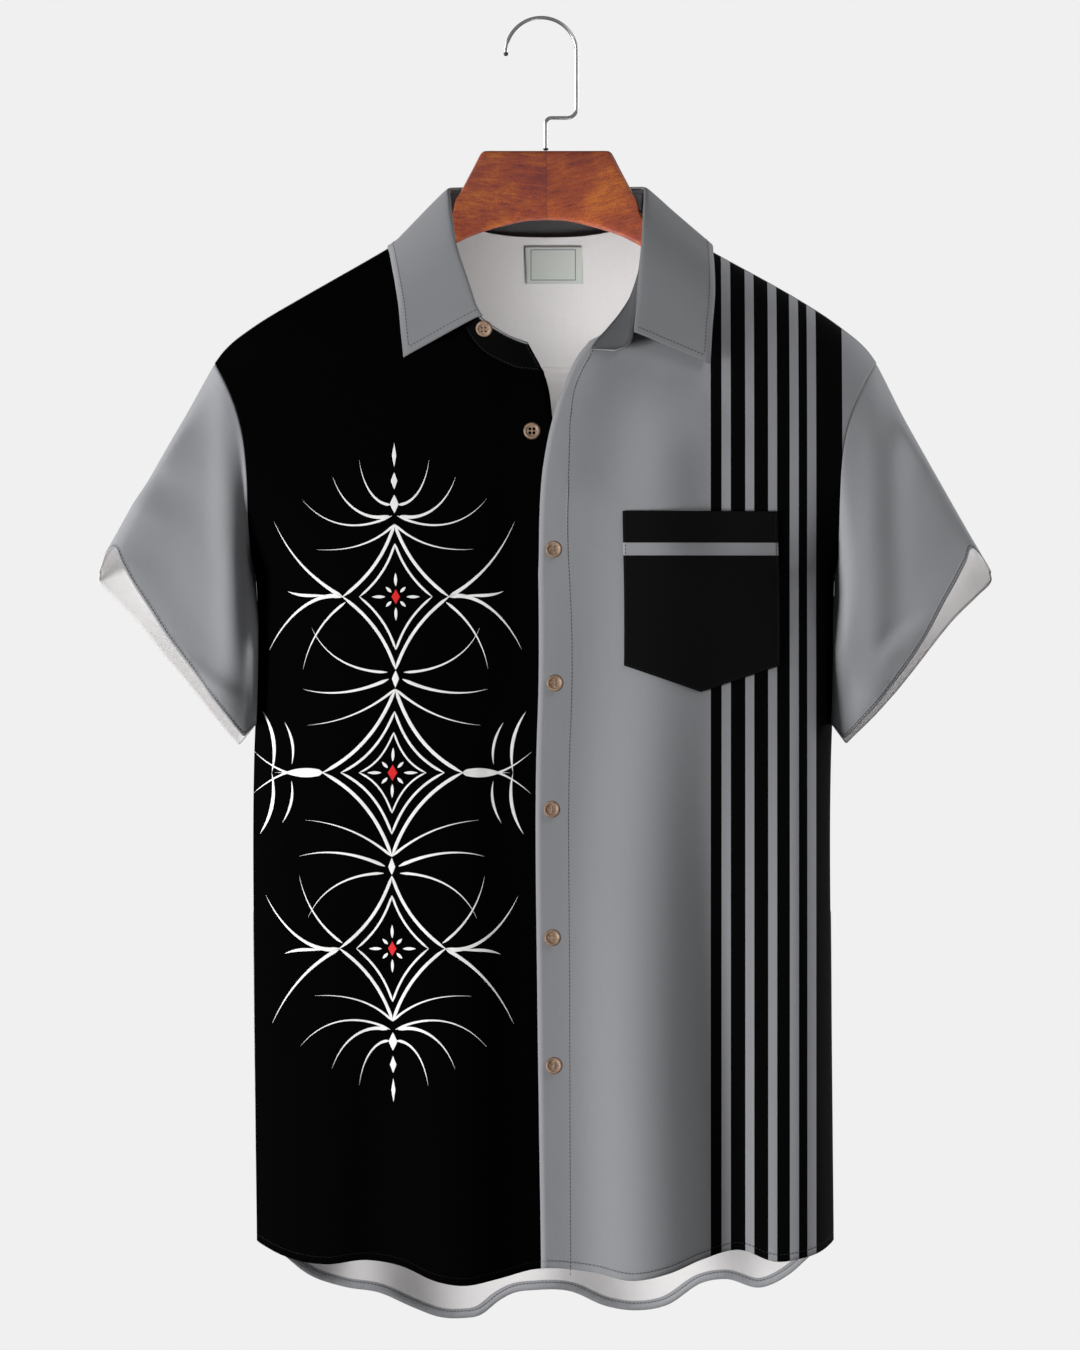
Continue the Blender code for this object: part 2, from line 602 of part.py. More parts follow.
# The pocket, whose lower edge comes to a point.
pocket_rows, pocket_columns = 9, 13
share = np.linspace(0, 1, pocket_columns)
across = POCKET_LEFT + (POCKET_RIGHT - POCKET_LEFT) * share
low = POCKET_POINT - (POCKET_POINT - POCKET_SIDE) * np.abs(share - 0.5) * 2
step = np.linspace(0, 1, pocket_rows)[:, None]
across = np.broadcast_to(across, (pocket_rows, pocket_columns))
flat = np.stack([across, POCKET_TOP + (low - POCKET_TOP) * step], -1)
pocket = solid_points(flat, -1)
pocket_normal = normals_of(pocket, True)
pocket = lifted(pocket, GAP + 0.7)
wall("chest_pocket", pocket, pocket_normal, POCKET_CLOTH, "black")

# The label, on the inside of the yoke.
share, step = np.linspace(0, 1, 5), np.linspace(0, 1, 4)[:, None]
flat = np.stack([
    np.broadcast_to(LABEL[0] + (LABEL[1] - LABEL[0]) * share, (4, 5)),
    np.broadcast_to(LABEL[2] + (LABEL[3] - LABEL[2]) * step, (4, 5)),
], -1)
label = solid_points(flat, 1)
label_normal = normals_of(label, False)
wall("neck_label", label - label_normal * (GAP + 0.3 + LABEL_CLOTH), label_normal, LABEL_CLOTH, "label")


def ring_solid(name, rings, colour, **look):
    """A closed body through rings of points, its ends filled."""
    count, around = rings.shape[:2]
    number = np.arange(count * around).reshape(count, around)
    number = np.concatenate([number, number[:, :1]], 1)
    a, b, c, d = number[:-1, :-1], number[1:, :-1], number[1:, 1:], number[:-1, 1:]
    faces = np.stack([a, b, c, d], -1).reshape(-1, 4).tolist()
    faces += [number[0, :-1].tolist(), number[-1, -2::-1].tolist()]
    mesh = bpy.data.meshes.new(name)
    mesh.from_pydata(rings.reshape(-1, 3).tolist(), [], faces)
    shape = bmesh.new()
    shape.from_mesh(mesh)
    bmesh.ops.recalc_face_normals(shape, faces=shape.faces)
    if shape.calc_volume(signed=True) < 0:
        bmesh.ops.reverse_faces(shape, faces=shape.faces)
    shape.to_mesh(mesh)
    shape.free()
    for polygon in mesh.polygons:
        polygon.use_smooth = True
    return add_part(name, mesh, colour, **look)


# The hanger's two halves, each a rounded bar whose height and thickness change along it.
turn = np.linspace(0, 2 * np.pi, 12, endpoint=False) + np.pi / 12
round_in = np.sign(np.cos(turn)) * np.abs(np.cos(turn)) ** 0.45
round_up = np.sign(np.sin(turn)) * np.abs(np.sin(turn)) ** 0.45
for name, mirror, colour in (("hanger_left", 1, "wood_light"), ("hanger_right", -1, "wood_dark")):
    across = HANGER[:, 0].copy()
    across[0] = GAP / 2
    top, bottom, thick = HANGER[:, 1:2], HANGER[:, 2:3], HANGER[:, 3:4]
    rings = np.stack([
        np.broadcast_to((across * mirror + HANGER_SEAM)[:, None], (len(across), len(turn))),
        thick * round_in[None],
        (top + bottom) / 2 - (bottom - top) / 2 * round_up[None],
    ], -1)
    ring_solid(name, place(rings, lean=False), colour, roughness=0.35)

# The hook: an open round crown, a level run back to the middle, and the stem.
corner, bend = 7.0, 4.0
path = [(-HOOK_RADIUS * math.cos(t), HOOK_RADIUS * math.sin(t) - HOOK_RADIUS + WIRE)
        for t in np.linspace(-0.02, math.pi, 19)]
path += [(HOOK_RADIUS, -HOOK_RUN + corner + 20)]
path += [(HOOK_RADIUS - corner + corner * math.cos(t), -HOOK_RUN + corner - corner * math.sin(t))
         for t in np.linspace(0, math.pi / 2, 6)]
path += [(STEM + bend - bend * math.sin(t), -HOOK_RUN - bend + bend * math.cos(t))
         for t in np.linspace(0, math.pi / 2, 5)]
path += [(STEM, -HANGER[0, 1] + 2 * GAP + FERRULE_TALL)]
path = np.array(path)
ahead = np.gradient(path, axis=0)
ahead /= np.linalg.norm(ahead, axis=1, keepdims=True)
turn = np.linspace(0, 2 * np.pi, 8, endpoint=False)
rings = np.stack([
    path[:, :1] - ahead[:, 1:] * WIRE * np.cos(turn),
    np.broadcast_to(WIRE * np.sin(turn), (len(path), len(turn))),
    path[:, 1:] + ahead[:, :1] * WIRE * np.cos(turn),
], -1)
ring_solid("hook", rings * MM, "steel", metallic=1.0, roughness=0.25)

profile = np.array([
    # radius, height
    (FERRULE_RADIUS - 0.9, 0), (FERRULE_RADIUS, 0.7), (FERRULE_RADIUS, 1.5),
    (FERRULE_RADIUS - 0.7, FERRULE_TALL),
])
turn = np.linspace(0, 2 * np.pi, 14, endpoint=False)
rings = np.stack([
    STEM + profile[:, :1] * np.cos(turn),
    profile[:, :1] * np.sin(turn),
    np.broadcast_to(-HANGER[0, 1] + GAP + profile[:, 1:], (len(profile), len(turn))),
], -1)
ring_solid("hook_ferrule", rings * MM, "dark", metallic=0.8, roughness=0.4)

# Buttons: a dished disc with four holes, on the body's outer face.
profile = np.array([
    # radius, height
    (4.9, 0), (BUTTON_RADIUS, 0.8), (BUTTON_RADIUS, 1.7), (5.3, BUTTON_THICK), (4.0, 1.6),
])
turn = np.linspace(0, 2 * np.pi, 18, endpoint=False)
disc = np.stack([
    profile[:, :1] * np.cos(turn),
    profile[:, :1] * np.sin(turn),
    np.broadcast_to(profile[:, 1:], (len(profile), len(turn))),
], -1)


def facing_out(across, drop):
    """The body's outer face at a place on its front: a point and the normal there."""
    spot = solid_points(np.array([(across, drop), (across + 1, drop), (across, drop + 1)], float), -1)
    normal = np.cross(spot[2] - spot[0], spot[1] - spot[0])
    normal /= np.linalg.norm(normal)
    return spot[0], normal * (-1 if normal[1] > 0 else 1)


hole = bpy.data.meshes.new("thread_holes")
shape = bmesh.new()
for k in range(4):
    angle = math.pi / 4 + k * math.pi / 2
    where = Vector((HOLE_OUT * math.cos(angle), HOLE_OUT * math.sin(angle), BUTTON_THICK / 2)) * MM
    bmesh.ops.create_cone(
        shape, cap_ends=True, segments=6, radius1=HOLE_RADIUS * MM, radius2=HOLE_RADIUS * MM,
        depth=2 * BUTTON_THICK * MM, matrix=Matrix.Translation(where),
    )
shape.to_mesh(hole)
shape.free()

for k, (across, drop) in enumerate(BUTTONS):
    button = ring_solid(f"button_{k + 1}", disc * MM, "nut", roughness=0.45)
    point, normal = facing_out(across, drop)
    lift = CLOTH + GAP + 0.5
    if k == 1:
        point[1] += TUCK
    if k == 0:
        nearest = np.argmin(((stand_points[..., ::2] - (across, drop)) ** 2).sum(-1))
        normal = -stand_normal.reshape(-1, 3)[nearest]
        near = stand_points.reshape(-1, 3)[nearest]
        depth = near[1] + (near - (across, 0, drop)) @ (normal * (1, 0, 1)) / normal[1]
        point = np.array([across, depth, drop])
        lift = GAP + 0.3
    centre = Vector(place(point + normal * lift))
    out = Vector((normal[0], normal[1], -normal[2]))
    button.matrix_world = Matrix.Translation(centre) @ out.to_track_quat("Z", "Y").to_matrix().to_4x4()
    cut = button.modifiers.new("holes", "BOOLEAN")
    cut.object = bpy.data.objects.new(f"holes_{k + 1}", hole)
    cut.object.matrix_world = button.matrix_world
    cut.object.hide_render = True
    cut.object.display_type = "WIRE"
    cutters.objects.link(cut.object)
    cut.operation = "DIFFERENCE"
    cut.solver = "EXACT"
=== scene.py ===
import math

import bmesh
import bpy
import numpy as np
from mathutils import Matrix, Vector


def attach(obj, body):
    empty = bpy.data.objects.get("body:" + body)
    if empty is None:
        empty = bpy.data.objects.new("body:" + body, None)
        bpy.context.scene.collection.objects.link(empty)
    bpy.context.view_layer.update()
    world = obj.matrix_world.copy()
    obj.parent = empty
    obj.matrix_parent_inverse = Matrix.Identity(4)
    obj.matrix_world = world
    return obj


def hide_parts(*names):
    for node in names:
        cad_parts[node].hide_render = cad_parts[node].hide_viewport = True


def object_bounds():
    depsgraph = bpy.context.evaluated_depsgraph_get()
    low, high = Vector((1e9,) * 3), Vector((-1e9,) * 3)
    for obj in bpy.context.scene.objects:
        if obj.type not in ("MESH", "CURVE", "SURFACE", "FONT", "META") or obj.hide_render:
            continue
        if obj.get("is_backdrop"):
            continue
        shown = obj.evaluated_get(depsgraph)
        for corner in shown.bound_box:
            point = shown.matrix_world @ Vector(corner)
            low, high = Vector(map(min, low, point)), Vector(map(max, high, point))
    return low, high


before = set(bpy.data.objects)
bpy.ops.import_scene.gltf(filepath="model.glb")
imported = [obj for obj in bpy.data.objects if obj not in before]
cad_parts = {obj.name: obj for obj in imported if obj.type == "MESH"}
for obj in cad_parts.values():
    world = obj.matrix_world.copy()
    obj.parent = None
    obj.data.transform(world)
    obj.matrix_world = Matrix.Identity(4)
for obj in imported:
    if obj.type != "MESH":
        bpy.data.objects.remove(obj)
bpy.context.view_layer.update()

# Hanging bowling shirt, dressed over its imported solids. Cloth is worked out in millimetres as across (from
# the hanger's middle, + to the wearer's left), depth (+ to the back) and drop (below the crown of the
# hook).
mm = 0.001
greyCloth, blackCloth, paleCloth = (0.245, 0.249, 0.262), (0.0012, 0.0012, 0.0013), (0.55, 0.537, 0.537)
print("frame loaded:", len(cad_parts), "nodes")

# the form of the body
body = {
    "middle": 3.0,  # the hanger's middle, to the side of the hook's crown
    "lean": [  # drop, how far the cloth hangs to the side
        (136, 0), (165, 1.2), (200, 2.2), (225, 0.6), (250, 0), (300, -1.2), (360, -1.0), (415, 0),
        (480, -0.3), (530, -2.0), (700, -2.0), (800, -1.0), (900, 0), (950, 0)],
    "rings": [  # drop, depth to the front, depth to the back, how square the ring is
        (134, 12, 18, 2.0), (158, 33, 38, 2.05), (180, 46, 49, 2.1), (205, 57, 57, 2.1),
        (235, 66, 64, 2.15), (270, 74, 70, 2.2), (320, 80, 76, 2.25), (370, 84, 80, 2.5),
        (400, 86, 82, 2.8), (450, 87, 83.5, 2.8), (650, 91, 88, 2.6), (950, 97, 95, 2.5)],
    "shoulder": [  # drop, across
        (136, 72), (150.8, 90), (166.3, 114), (175.2, 129.6), (189.2, 154.8), (203.6, 180), (218, 203.4),
        (225.5, 214), (232.8, 223.5), (239.5, 230.3), (248.5, 237)],
    "armhole": [  # drop, across
        (248.5, 237), (259, 231), (270, 225.5), (281, 221), (292, 217.6), (303, 215.2), (324, 213),
        (346, 212.3), (370, 211.4), (386, 210), (400, 207.3), (415, 206.3), (450, 206.3), (950, 206.3)],
    "tip": 248.5, "armpit": 400.0, "armholeDepth": 57.0, "armholePower": 2.0,
    "frontFolds": [  # across at the chest, across at the hem, half width, out, drop where it starts
        (-60, -61, 30, 9, 430), (-112, -120, 24, -7, 450), (-158, -159, 20, 4, 600),
        (50, 61, 30, 8, 400), (108, 126, 25, -9, 365), (168, 166, 16, 4, 600)],
    "backFolds": [
        (-60, -68, 32, 8, 470), (-108, -118, 24, -5, 520), (-150, -152, 20, 4, 600), (0, 2, 26, -6, 480),
        (58, 65, 32, 8, 450), (108, 122, 24, -6, 520), (152, 157, 18, 4, 600)],
    "foldFull": 400.0, "hemDrop": 900.0,
    "cloth": 1.4,  # from the solid's inner face to its outer face
    "shell": 0.8,  # the cloth's own thickness
}


def columnsOf(table):
    # a table's columns as arrays
    return [np.array(column, float) for column in zip(*table)]


def smoothCurve(at, stops, values):
    # a cubic between each two stops, whose slope at a stop is that of its neighbours
    slopes = np.gradient(values, stops)
    at = np.clip(at, stops[0], stops[-1])
    k = np.clip(np.searchsorted(stops, at) - 1, 0, len(stops) - 2)
    step = stops[k + 1] - stops[k]
    t = (at - stops[k]) / step
    return (values[k] * (1 - t) ** 2 * (1 + 2 * t) + values[k + 1] * t**2 * (3 - 2 * t)
            + step * (slopes[k] * t * (1 - t) ** 2 - slopes[k + 1] * t**2 * (1 - t)))


def easeIn(low, high, at):
    # from 0 to 1 between the two ends, level at both
    t = np.clip((at - low) / (high - low), 0, 1)
    return t * t * (3 - 2 * t)


def unit(way):
    # each vector divided by its own length
    return way / np.maximum(np.linalg.norm(way, axis=-1, keepdims=True), 1e-9)


def lengths(points, axis=0):
    # how far each point lies along its line of points
    steps = np.linalg.norm(np.diff(points, axis=axis), axis=-1)
    return np.concatenate([np.zeros_like(np.take(steps, [0], axis)), np.cumsum(steps, axis)], axis)


def signedPower(value, power):
    # a power of the size, with the value's own sign
    return np.sign(value) * np.abs(value) ** power


def bezier(a, b, c, d, t):
    # a cubic from the first point to the last, drawn towards the two between
    return a * (1 - t) ** 3 + 3 * b * t * (1 - t) ** 2 + 3 * c * t**2 * (1 - t) + d * t**3


leanDrop, leanAcross = columnsOf(body["lean"])
ringDrop, ringFront, ringBack, ringSquare = columnsOf(body["rings"])
shoulderDrop, shoulderAcross = columnsOf(body["shoulder"])
sideDrop, sideAcross = columnsOf(body["armhole"])
armMiddle, armHalf = (body["tip"] + body["armpit"]) / 2, (body["armpit"] - body["tip"]) / 2


def toWorld(points):
    # across, depth and drop in millimetres to world metres, with the way the cloth leans at each drop
    across = points[..., 0] + body["middle"] + smoothCurve(points[..., 2], leanDrop, leanAcross)
    return np.stack([across, points[..., 1], -points[..., 2]], -1) * mm


def halfWidth(drop):
    # from the middle to the shoulder's line above its tip, and to the armhole's edge and side seam below it
    return np.where(drop < body["tip"], smoothCurve(drop, shoulderDrop, shoulderAcross),
                    smoothCurve(drop, sideDrop, sideAcross))


def armholeDepth(drop):
    # half of a superellipse, standing between the shoulder's tip and the armpit
    inside = np.clip(1 - np.abs((drop - armMiddle) / armHalf) ** body["armholePower"], 0, 1)
    return body["armholeDepth"] * inside ** (1 / body["armholePower"])


def bodyDepth(across, drop, side):
    # each level ring is a superellipse, wide enough to meet the armhole's edge at its depth; the long folds
    # are bell curves across the body that grow downwards and die out at the side seams
    full = smoothCurve(drop, ringDrop, ringFront if side < 0 else ringBack)
    power = smoothCurve(drop, ringDrop, ringSquare)
    edge = halfWidth(drop)
    opening = np.clip(armholeDepth(drop) / full, 0, 0.98)
    ring = edge / (1 - opening**power) ** (1 / power)
    level = np.clip(1 - np.abs(across / ring) ** power, 0, 1) ** (1 / power)
    folds = 0.0
    for chest, hemAt, width, out, start in body["frontFolds"] if side < 0 else body["backFolds"]:
        middle = chest + (hemAt - chest) * easeIn(start, body["hemDrop"], drop)
        grown = out * easeIn(start, start + body["foldFull"], drop)
        folds = folds + grown * np.exp(-(((across - middle) / width) ** 2))
    return side * (full * level + folds * np.clip(1 - np.abs(across / edge) ** 5, 0, 1))


def creaseHeight(across, drop, rows):
    # each crease is a bell curve's height off a bowed line between two points, tapering off at both ends
    height = np.zeros(np.broadcast(across, drop).shape)
    for x0, z0, x1, z1, bow, width, out in rows:
        length = math.hypot(x1 - x0, z1 - z0)
        t = ((across - x0) * (x1 - x0) + (drop - z0) * (z1 - z0)) / length**2
        off = ((across - x0) * (z1 - z0) - (drop - z0) * (x1 - x0)) / length - bow * 4 * t * (1 - t)
        tapered = easeIn(-0.12, 0.3, t) * (1 - easeIn(0.7, 1.12, t))
        height = height + out * np.exp(-((off / width) ** 2)) * tapered
    return height


creases = {  # from across, drop; to across, drop; bow, half width, out
    "front": [
        (84, 330, 93, 1150, 0, 31, 5.6), (36, 320, 36, 1150, 0, 30, -5.2),
        (127, 400, 128, 1150, 0, 20, -2.2), (192, 440, 194, 1150, 0, 33, 22.0),
        (188, 340, 190, 1150, 0, 12, 4.2), (56, 262, 50, 350, 0, 26, -3.2), (6, 255, 6, 345, 0, 48, 3.2),
        (88, 285, 92, 410, 0, 20, 2.0), (121, 300, 121, 390, 0, 30, -4.5),
        (40, 262, 150, 282, 8, 20, -3.2), (-196, 418, -120, 372, 6, 9, -1.6),
        (-198, 440, -104, 430, -7, 10, 1.5), (-190, 300, -96, 262, 8, 16, 1.2),
        (-178, 342, -70, 330, -9, 12, -1.0), (-150, 560, -96, 700, 5, 12, 1.5),
        (-40, 470, -28, 640, -3, 11, -1.2), (-198, 520, -176, 700, 4, 8, 1.4),
        (-176, 640, -184, 860, -3, 8, -1.5), (-88, 640, -80, 880, 3, 9, 1.5),
        (196, 420, 148, 392, -6, 9, -1.2), (198, 446, 150, 440, 8, 10, 1.1),
        (188, 300, 112, 262, -8, 14, 1.0)],
    "back": [
        (-196, 420, -90, 398, 6, 10, -2.6), (-198, 446, -84, 470, -8, 11, 1.6),
        (196, 424, 100, 392, -7, 10, -2.6), (198, 452, 92, 478, 9, 11, 1.5),
        (-40, 300, -52, 560, 5, 17, 3.0), (46, 300, 30, 580, -6, 17, -2.8),
        (-150, 520, -132, 800, 5, 14, 2.6), (120, 560, 140, 860, -6, 14, 2.6),
        (-20, 600, 8, 880, 4, 13, -2.4), (-92, 700, -84, 905, 2, 10, 1.5),
        (70, 240, 120, 282, 4, 12, -1.0), (-74, 236, -128, 286, -5, 13, -1.0)],
    "sleeve_right front": [
        (230, 270, 226, 490, 0, 9, 3.0), (234, 290, 222, 500, 0, 22, 0.8),
        (213.5, 290, 211.5, 500, 0, 7, -4.2), (284, 332, 322, 402, 0, 36, 7.5),
        (316, 382, 214, 520, 0, 18, 3.6), (248, 474, 212, 522, 0, 17, 6.5),
        (262, 456, 216, 487, 3, 5, 1.9)],
    "sleeve_left front": [
        (235, 250, 237, 480, 0, 10, 2.0), (316, 382, 214, 520, 0, 18, 3.6),
        (246, 478, 212, 524, 0, 16, 4.0), (250, 268, 253, 455, 2, 9, -1.1),
        (281, 330, 278, 440, 0, 18, 1.2), (240, 464, 278, 437, 4, 6, 1.5),
        (238, 453, 272, 428, 4, 6, -1.2), (233, 243, 226, 278, 1, 2.5, 0.5),
        (235, 243, 246, 274, -1, 2.5, -0.5), (232, 243, 216, 264, 1, 2.2, -0.4)],
    "sleeve_right back": [
        (226, 300, 238, 480, 6, 10, -2.4), (252, 280, 262, 450, -5, 13, 2.0),
        (284, 350, 276, 440, 3, 12, -1.6)],
    "sleeve_left back": [
        (228, 292, 232, 486, -5, 9, 2.2), (246, 300, 258, 470, 6, 11, -2.4),
        (276, 330, 288, 430, 3, 13, 1.7)],
}


def clothFace(flat, side, lift=0.0):
    # a point of the solid's inner face, moved out in depth by its creases, and along the normal of the
    # smooth form by the cloth and the lift; the normal comes from the depth a little to each side
    across, drop = flat[..., 0], flat[..., 1]
    depth = bodyDepth(across, drop, side)
    near = 0.5
    slopeAcross = bodyDepth(across + near, drop, side) - bodyDepth(across - near, drop, side)
    slopeDrop = bodyDepth(across, drop + near, side) - bodyDepth(across, drop - near, side)
    normal = unit(np.stack([slopeAcross, -np.ones_like(depth), slopeDrop], -1) * -side)
    calm = np.clip(1 - np.abs(across / halfWidth(drop)) ** 30, 0, 1)
    depth = depth + side * creaseHeight(across, drop, creases["front" if side < 0 else "back"]) * calm
    out = body["cloth"] + lift + np.zeros_like(depth)
    return np.stack([across, depth, drop], -1) + normal * out[..., None], normal


def along(line, count, power=1.0):
    # points along a line of (across, drop) points, evenly spaced or closer at its start
    line = np.asarray(line, float)
    steps = lengths(line)
    at = np.linspace(0, 1, count) ** power * steps[-1]
    return np.stack([smoothCurve(at, steps, line[:, 0]), smoothCurve(at, steps, line[:, 1])], -1)


def armholeEdge(turn):
    # (across, drop) on the armhole's edge, from the tip at angle 0 to the armpit at a half turn
    drop = armMiddle - armHalf * signedPower(np.cos(turn), 2 / body["armholePower"])
    return np.stack([halfWidth(drop), drop], -1)


def patch(top, bottom, inner, outer, down, share):
    # each row mixes the top and the bottom edge, and is then drawn to the two side edges
    down, share = down[:, None, None], share[None, :, None]
    between = (1 - down) * top[None] + down * bottom[None]
    toInner, toOuter = inner[:, None] - between[:, :1], outer[:, None] - between[:, -1:]
    return between + (1 - share) * toInner + share * toOuter


# meshes
def cutMap(grid):
    # where each grid point lies on the flat cut, in millimetres: length along its row, and down its column
    overRow = lengths(grid, 1)
    middle = overRow.shape[1] // 2
    return np.stack([overRow - overRow[:, middle : middle + 1], lengths(grid)], -1)


def gridNormals(grid, tube=False):
    # the cross product of the slopes down and along; a tube's slopes run on over its joint
    padded = np.concatenate([grid[:, -2:-1], grid, grid[:, 1:2]], 1) if tube else grid
    normal = unit(np.cross(np.gradient(padded, axis=0), np.gradient(padded, axis=1)))
    return normal[:, 1:-1] if tube else normal


def finishPiece(name, vertices, faces, materials, materialIndex=None, uv=None, distances=None):
    # one smooth-shaded mesh object in place, with its cut map and its distances from hem, edge and seam
    mesh = bpy.data.meshes.new(name)
    mesh.from_pydata(vertices.tolist(), [], faces if isinstance(faces, list) else faces.tolist())
    for material in materials:
        mesh.materials.append(material)
    if materialIndex is not None:
        mesh.polygons.foreach_set("material_index", np.asarray(materialIndex, np.int32))
    mesh.polygons.foreach_set("use_smooth", np.ones(len(mesh.polygons), bool))
    loops = np.empty(len(mesh.loops), np.int32)
    mesh.loops.foreach_get("vertex_index", loops)
    if uv is not None:
        layer = mesh.uv_layers.new(name="cut")
        layer.data.foreach_set("uv", (uv * mm)[loops].astype(np.float32).ravel())
    for key, values in (distances or {}).items():
        mesh.attributes.new(key, "FLOAT", "POINT").data.foreach_set("value", values.astype(np.float32))
    mesh.update()
    piece = bpy.data.objects.new(name, mesh)
    bpy.context.scene.collection.objects.link(piece)
    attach(piece, "root")
    return piece


def mergeDoubles(piece, turnOut=False):
    shape = bmesh.new()
    shape.from_mesh(piece.data)
    bmesh.ops.remove_doubles(shape, verts=shape.verts, dist=1e-6)
    if turnOut:
        bmesh.ops.recalc_face_normals(shape, faces=shape.faces)
    shape.to_mesh(piece.data)
    shape.free()


def closedPiece(name, vertices, faces, material, sharpFrom, distances=None):
    # a closed mesh of one material, its faces turned outwards and its corners sharp from an angle in
    # degrees
    piece = finishPiece(name, vertices, faces, [material], distances=distances)
    mergeDoubles(piece, turnOut=True)
    piece.data.set_sharp_from_angle(angle=math.radians(sharpFrom))
    return piece


def ringFaces(count, around):
    # the faces between rings of points, each ring closed
    number = np.arange(count * around).reshape(count, around)
    after = np.roll(number, -1, axis=1)
    return np.stack([number[:-1], number[1:], after[1:], after[:-1]], -1).reshape(-1, 4)


def clothShell(node, outer, normal, materials, thick=None, tube=False, distances=None, wayIn=1):
    # two layers of one grid, the inner one moved in along the normals, closed round the rim; the outer
    # layer and the rim have the first material and the inner layer the second; a tube's last column repeats
    # its first, and its last rim has the second material
    thick = body["shell"] if thick is None else thick
    rows, columns = outer.shape[:2]
    inner = outer - normal * np.asarray(thick)
    uv = np.tile(cutMap(outer).reshape(-1, 2), (2, 1))
    vertices = toWorld(np.concatenate([outer.reshape(-1, 3), inner.reshape(-1, 3)]))
    number = np.arange(rows * columns).reshape(rows, columns)
    a, b, c, d = number[:-1, :-1], number[1:, :-1], number[1:, 1:], number[:-1, 1:]
    shift = rows * columns
    front = np.stack([a, b, c, d] if wayIn > 0 else [d, c, b, a], -1).reshape(-1, 4)
    back = front[:, ::-1] + shift
    if tube:
        rims = [number[0], number[-1][::-1]]
    else:
        rims = [np.concatenate([number[0], number[1:, -1], number[-1, -2::-1], number[-2::-1, 0]])]
    rim = np.concatenate([np.stack([r[:-1], r[1:], r[1:] + shift, r[:-1] + shift], -1) for r in rims])
    rim = rim if wayIn > 0 else rim[:, ::-1]
    faces = np.concatenate([front, back, rim])
    rimIndex = np.repeat([0, 1], len(rim) // 2) if tube else np.zeros(len(rim))
    index = np.r_[np.zeros(len(front)), np.ones(len(back)), rimIndex]
    distances = {key: np.tile(values.ravel(), 2) for key, values in (distances or {}).items()}
    piece = finishPiece(node + "_cloth", vertices, faces, materials, index, uv, distances)
    if tube:
        mergeDoubles(piece)
    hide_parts(node)
    return piece


def insetLine(grid, normals, edge, inset, trims=(0.0, 0.0)):
    # the line lying one inset in from the grid's top, bottom, left or right edge, measured along the cloth,
    # with the normals there; the trims cut that many millimetres off its two ends
    if edge in ("left", "right"):
        grid, normals = grid.transpose(1, 0, 2), normals.transpose(1, 0, 2)
    if edge in ("bottom", "right"):
        grid, normals = grid[::-1], normals[::-1]
    steps = lengths(grid)
    column = np.arange(grid.shape[1])
    row = np.clip((steps < inset).sum(0) - 1, 0, len(grid) - 2)
    low, high = steps[row, column], steps[row + 1, column]
    t = np.clip((inset - low) / np.maximum(high - low, 1e-6), 0, 1)[:, None]
    line = grid[row, column] * (1 - t) + grid[row + 1, column] * t
    up = normals[row, column] * (1 - t) + normals[row + 1, column] * t
    reach = lengths(line)
    keep = (reach >= trims[0]) & (reach <= reach[-1] - trims[1])
    return line[keep], up[keep]


thread = {"length": 1.8, "pitch": 2.7, "thick": 0.5, "sides": 5,
          "rings": [(-0.5, 0.3), (-0.3, 0.95), (0.3, 0.95), (0.5, 0.3)]}  # along, wide, as shares of the size


def oneRow(points, normals, sink=0.0):
    # short spindles of thread laid end to end on a path, half sunk in the cloth; each is four rings of
    # points
    steps = lengths(points)
    count = max(1, int(steps[-1] // thread["pitch"]))
    at = (np.arange(count) + 0.5) * steps[-1] / count

    def follow(values, where):
        return np.stack([np.interp(where, steps, values[:, k]) for k in range(3)], -1)

    ahead = unit(follow(points, at + 0.4) - follow(points, at - 0.4))
    up = follow(normals, at)
    up = unit(up - (up * ahead).sum(1, keepdims=True) * ahead)
    side = np.cross(ahead, up)
    place = follow(points, at) - up * sink
    sides = thread["sides"]
    turn = np.arange(sides) * 2 * math.pi / sides
    lengthwise, wide = columnsOf(thread["rings"])
    local = np.stack([np.repeat(lengthwise * thread["length"], sides),
                      np.outer(wide, np.cos(turn)).ravel() * thread["thick"] / 2,
                      np.outer(wide, np.sin(turn)).ravel() * thread["thick"] / 2], -1)
    return (place[:, None] + local[None, :, :1] * ahead[:, None] + local[None, :, 1:2] * side[:, None]
            + local[None, :, 2:] * up[:, None])


def stitching(name, rows, material):
    # every row of one piece's stitches as one mesh
    points = np.concatenate([oneRow(*row) for row in rows])
    sides = thread["sides"]
    ring = np.arange(sides)
    after = (ring + 1) % sides
    wall = np.stack([ring, after, after + sides, ring + sides], -1)
    walls = np.concatenate([wall, wall + sides, wall + 2 * sides])
    count = len(points)
    shift = (np.arange(count) * 4 * sides)[:, None, None]
    faces = (walls[None] + shift).reshape(-1, 4).tolist()
    faces += (ring[::-1][None] + shift[:, 0]).tolist() + (ring[None] + 3 * sides + shift[:, 0]).tolist()
    piece = finishPiece(name, toWorld(points.reshape(-1, 3)), faces, [material])
    return piece


